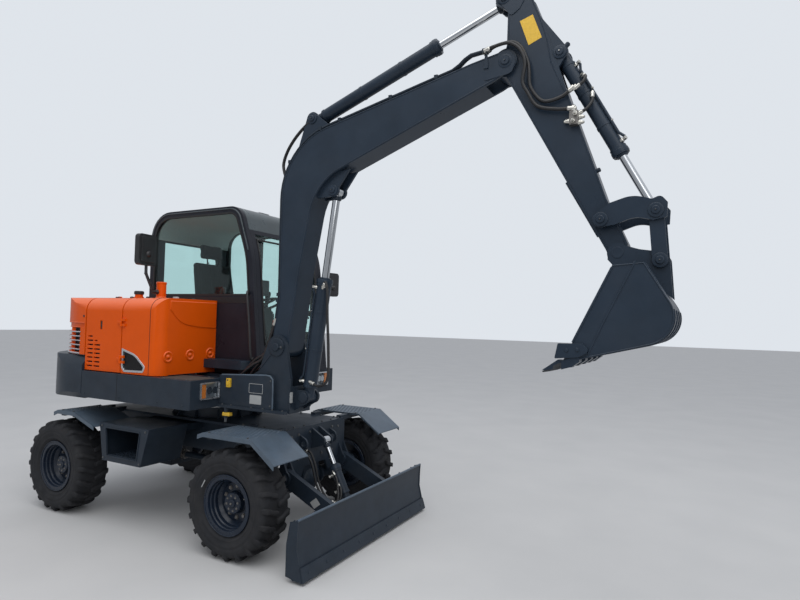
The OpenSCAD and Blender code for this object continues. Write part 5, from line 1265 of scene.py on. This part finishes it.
hose("bucket_hose_a", ("arm", "bucket_barrel"), path, 10)
path = [(3516, -530, 3165), (3560, -524, 3190), (3590, -505, 3240), (3590, -490, 3290)]
hose("bucket_hose_b", ("arm", "bucket_barrel"), path, 10)
# Rocker and link: bosses and pin ends
rocker = kit("rocker", "boom", "rocker_details", 1.2)
rocker_bolts = kit("rocker", "bolt", "rocker_bolts")
link = kit("bucket_link", "boom", "bucket_link_details", 1.2)
link_bolts = kit("bucket_link", "bolt", "bucket_link_bolts")
for pin in (ROCKER_PIN, ROCKER_TIP):
    for s in SIDES:
        pin_head(rocker, rocker_bolts, pin, 143, s)
for s in SIDES:
    pin_head(link, link_bolts, LINK_PIN, 122, s)
boss(rocker, [(25, -142), (25, 142)], ROCKER_TIP, 0, 1, 24)
for s in SIDES:
    boss(rocker, [(40, 110), (40, 126)], ROCKER_PIN, 0, s, 28)
    boss(link, [(38, 103), (38, 108)], LINK_PIN, 0, s, 28)
# Bucket: tooth points, adapters, side cutters, wear strips and weld beads
shell = kit("bucket", "boom", "bucket_details", 1.5)
for s in SIDES:
    boss(shell, [(36, -1), (36, 2), (30, 3.5), (26, 2), (8, 2)], BUCKET_PIN, 102, s)
teeth = kit("bucket", "tooth", "bucket_teeth", 2)


def bar_ring(x, y, z, w, h):
    """Section of a flat bar, half widths w across and h upwards."""
    return [(x, y - w, z - h), (x, y + w, z - h), (x, y + w, z + h), (x, y - w, z + h)]


for i in range(5):
    y = BOOM_Y - BUCKET_HALF + 31 + i * 184.5
    sections = ((0, 33, 34), (40, 33, 34), (90, 29, 22), (132, 25, 7))
    teeth.loft([bar_ring(3512 - t * 0.93, y, 1606 - t * 0.36, w, h / 2) for t, w, h in sections])
    teeth.lathe([(9, -36), (9, 36)], (3482, y, 1597), Y, 12)
    sections = ((3600, 1638, 12), (3560, 1624, 27), (3500, 1602, 24))
    shell.loft([bar_ring(x, y, z, 38, h) for x, z, h in sections])
front_edge = flat((3497, 1613), (3560, 1634), (3566, 1621), (3490, 1596))
teeth.prism(front_edge, BOOM_Y - BUCKET_HALF, BOOM_Y + BUCKET_HALF)
for s in SIDES:
    y = BOOM_Y + s * BUCKET_HALF
    cutter = [(3480, 1728, 6), (3618, 1730, 6), (3660, 1690, 20), (3596, 1652, 20), (3462, 1640, 6)]
    shell.prism(rounded(cutter, 4), y - s * 4, y + s * 16)
    for x, z in ((3530, 1690), (3590, 1695)):
        shell.bolt((x, y + s * 16, z), (0, s, 0), 11)
    shell.tube(side(y, [(3889, 2190), (3800, 2006), (3717, 1834), (3645, 1672)]), 6, 8)
    shell.tube(side(y, [(3768, 2160), (3560, 1735)]), 7, 8)
    bead = [(3769, 2168), (3930, 2180), *arc(3925, 1890, 155, 30, -75, 14), (3560, 1634)]
    shell.tube(side(y, bead), 5, 6)
for y in (-800, -560, -320, -80):
    lip = flat((3640, 1648), (3643, 1660))
    strip = arc(3925, 1890, 164, 15, -78, 14) + lip + arc(3925, 1890, 154, -78, 15, 14)
    shell.prism(strip, y - 25, y + 25)


# Every kit becomes one piece on its body; the ones that stand for a CAD node say so

for part, (body, piece) in KITS.items():
    obj = piece.finish(part)
    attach(obj, body)
    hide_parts(*REPLACED.get(part, ()))

view = bpy.context.scene.view_settings
view.view_transform = "Standard"
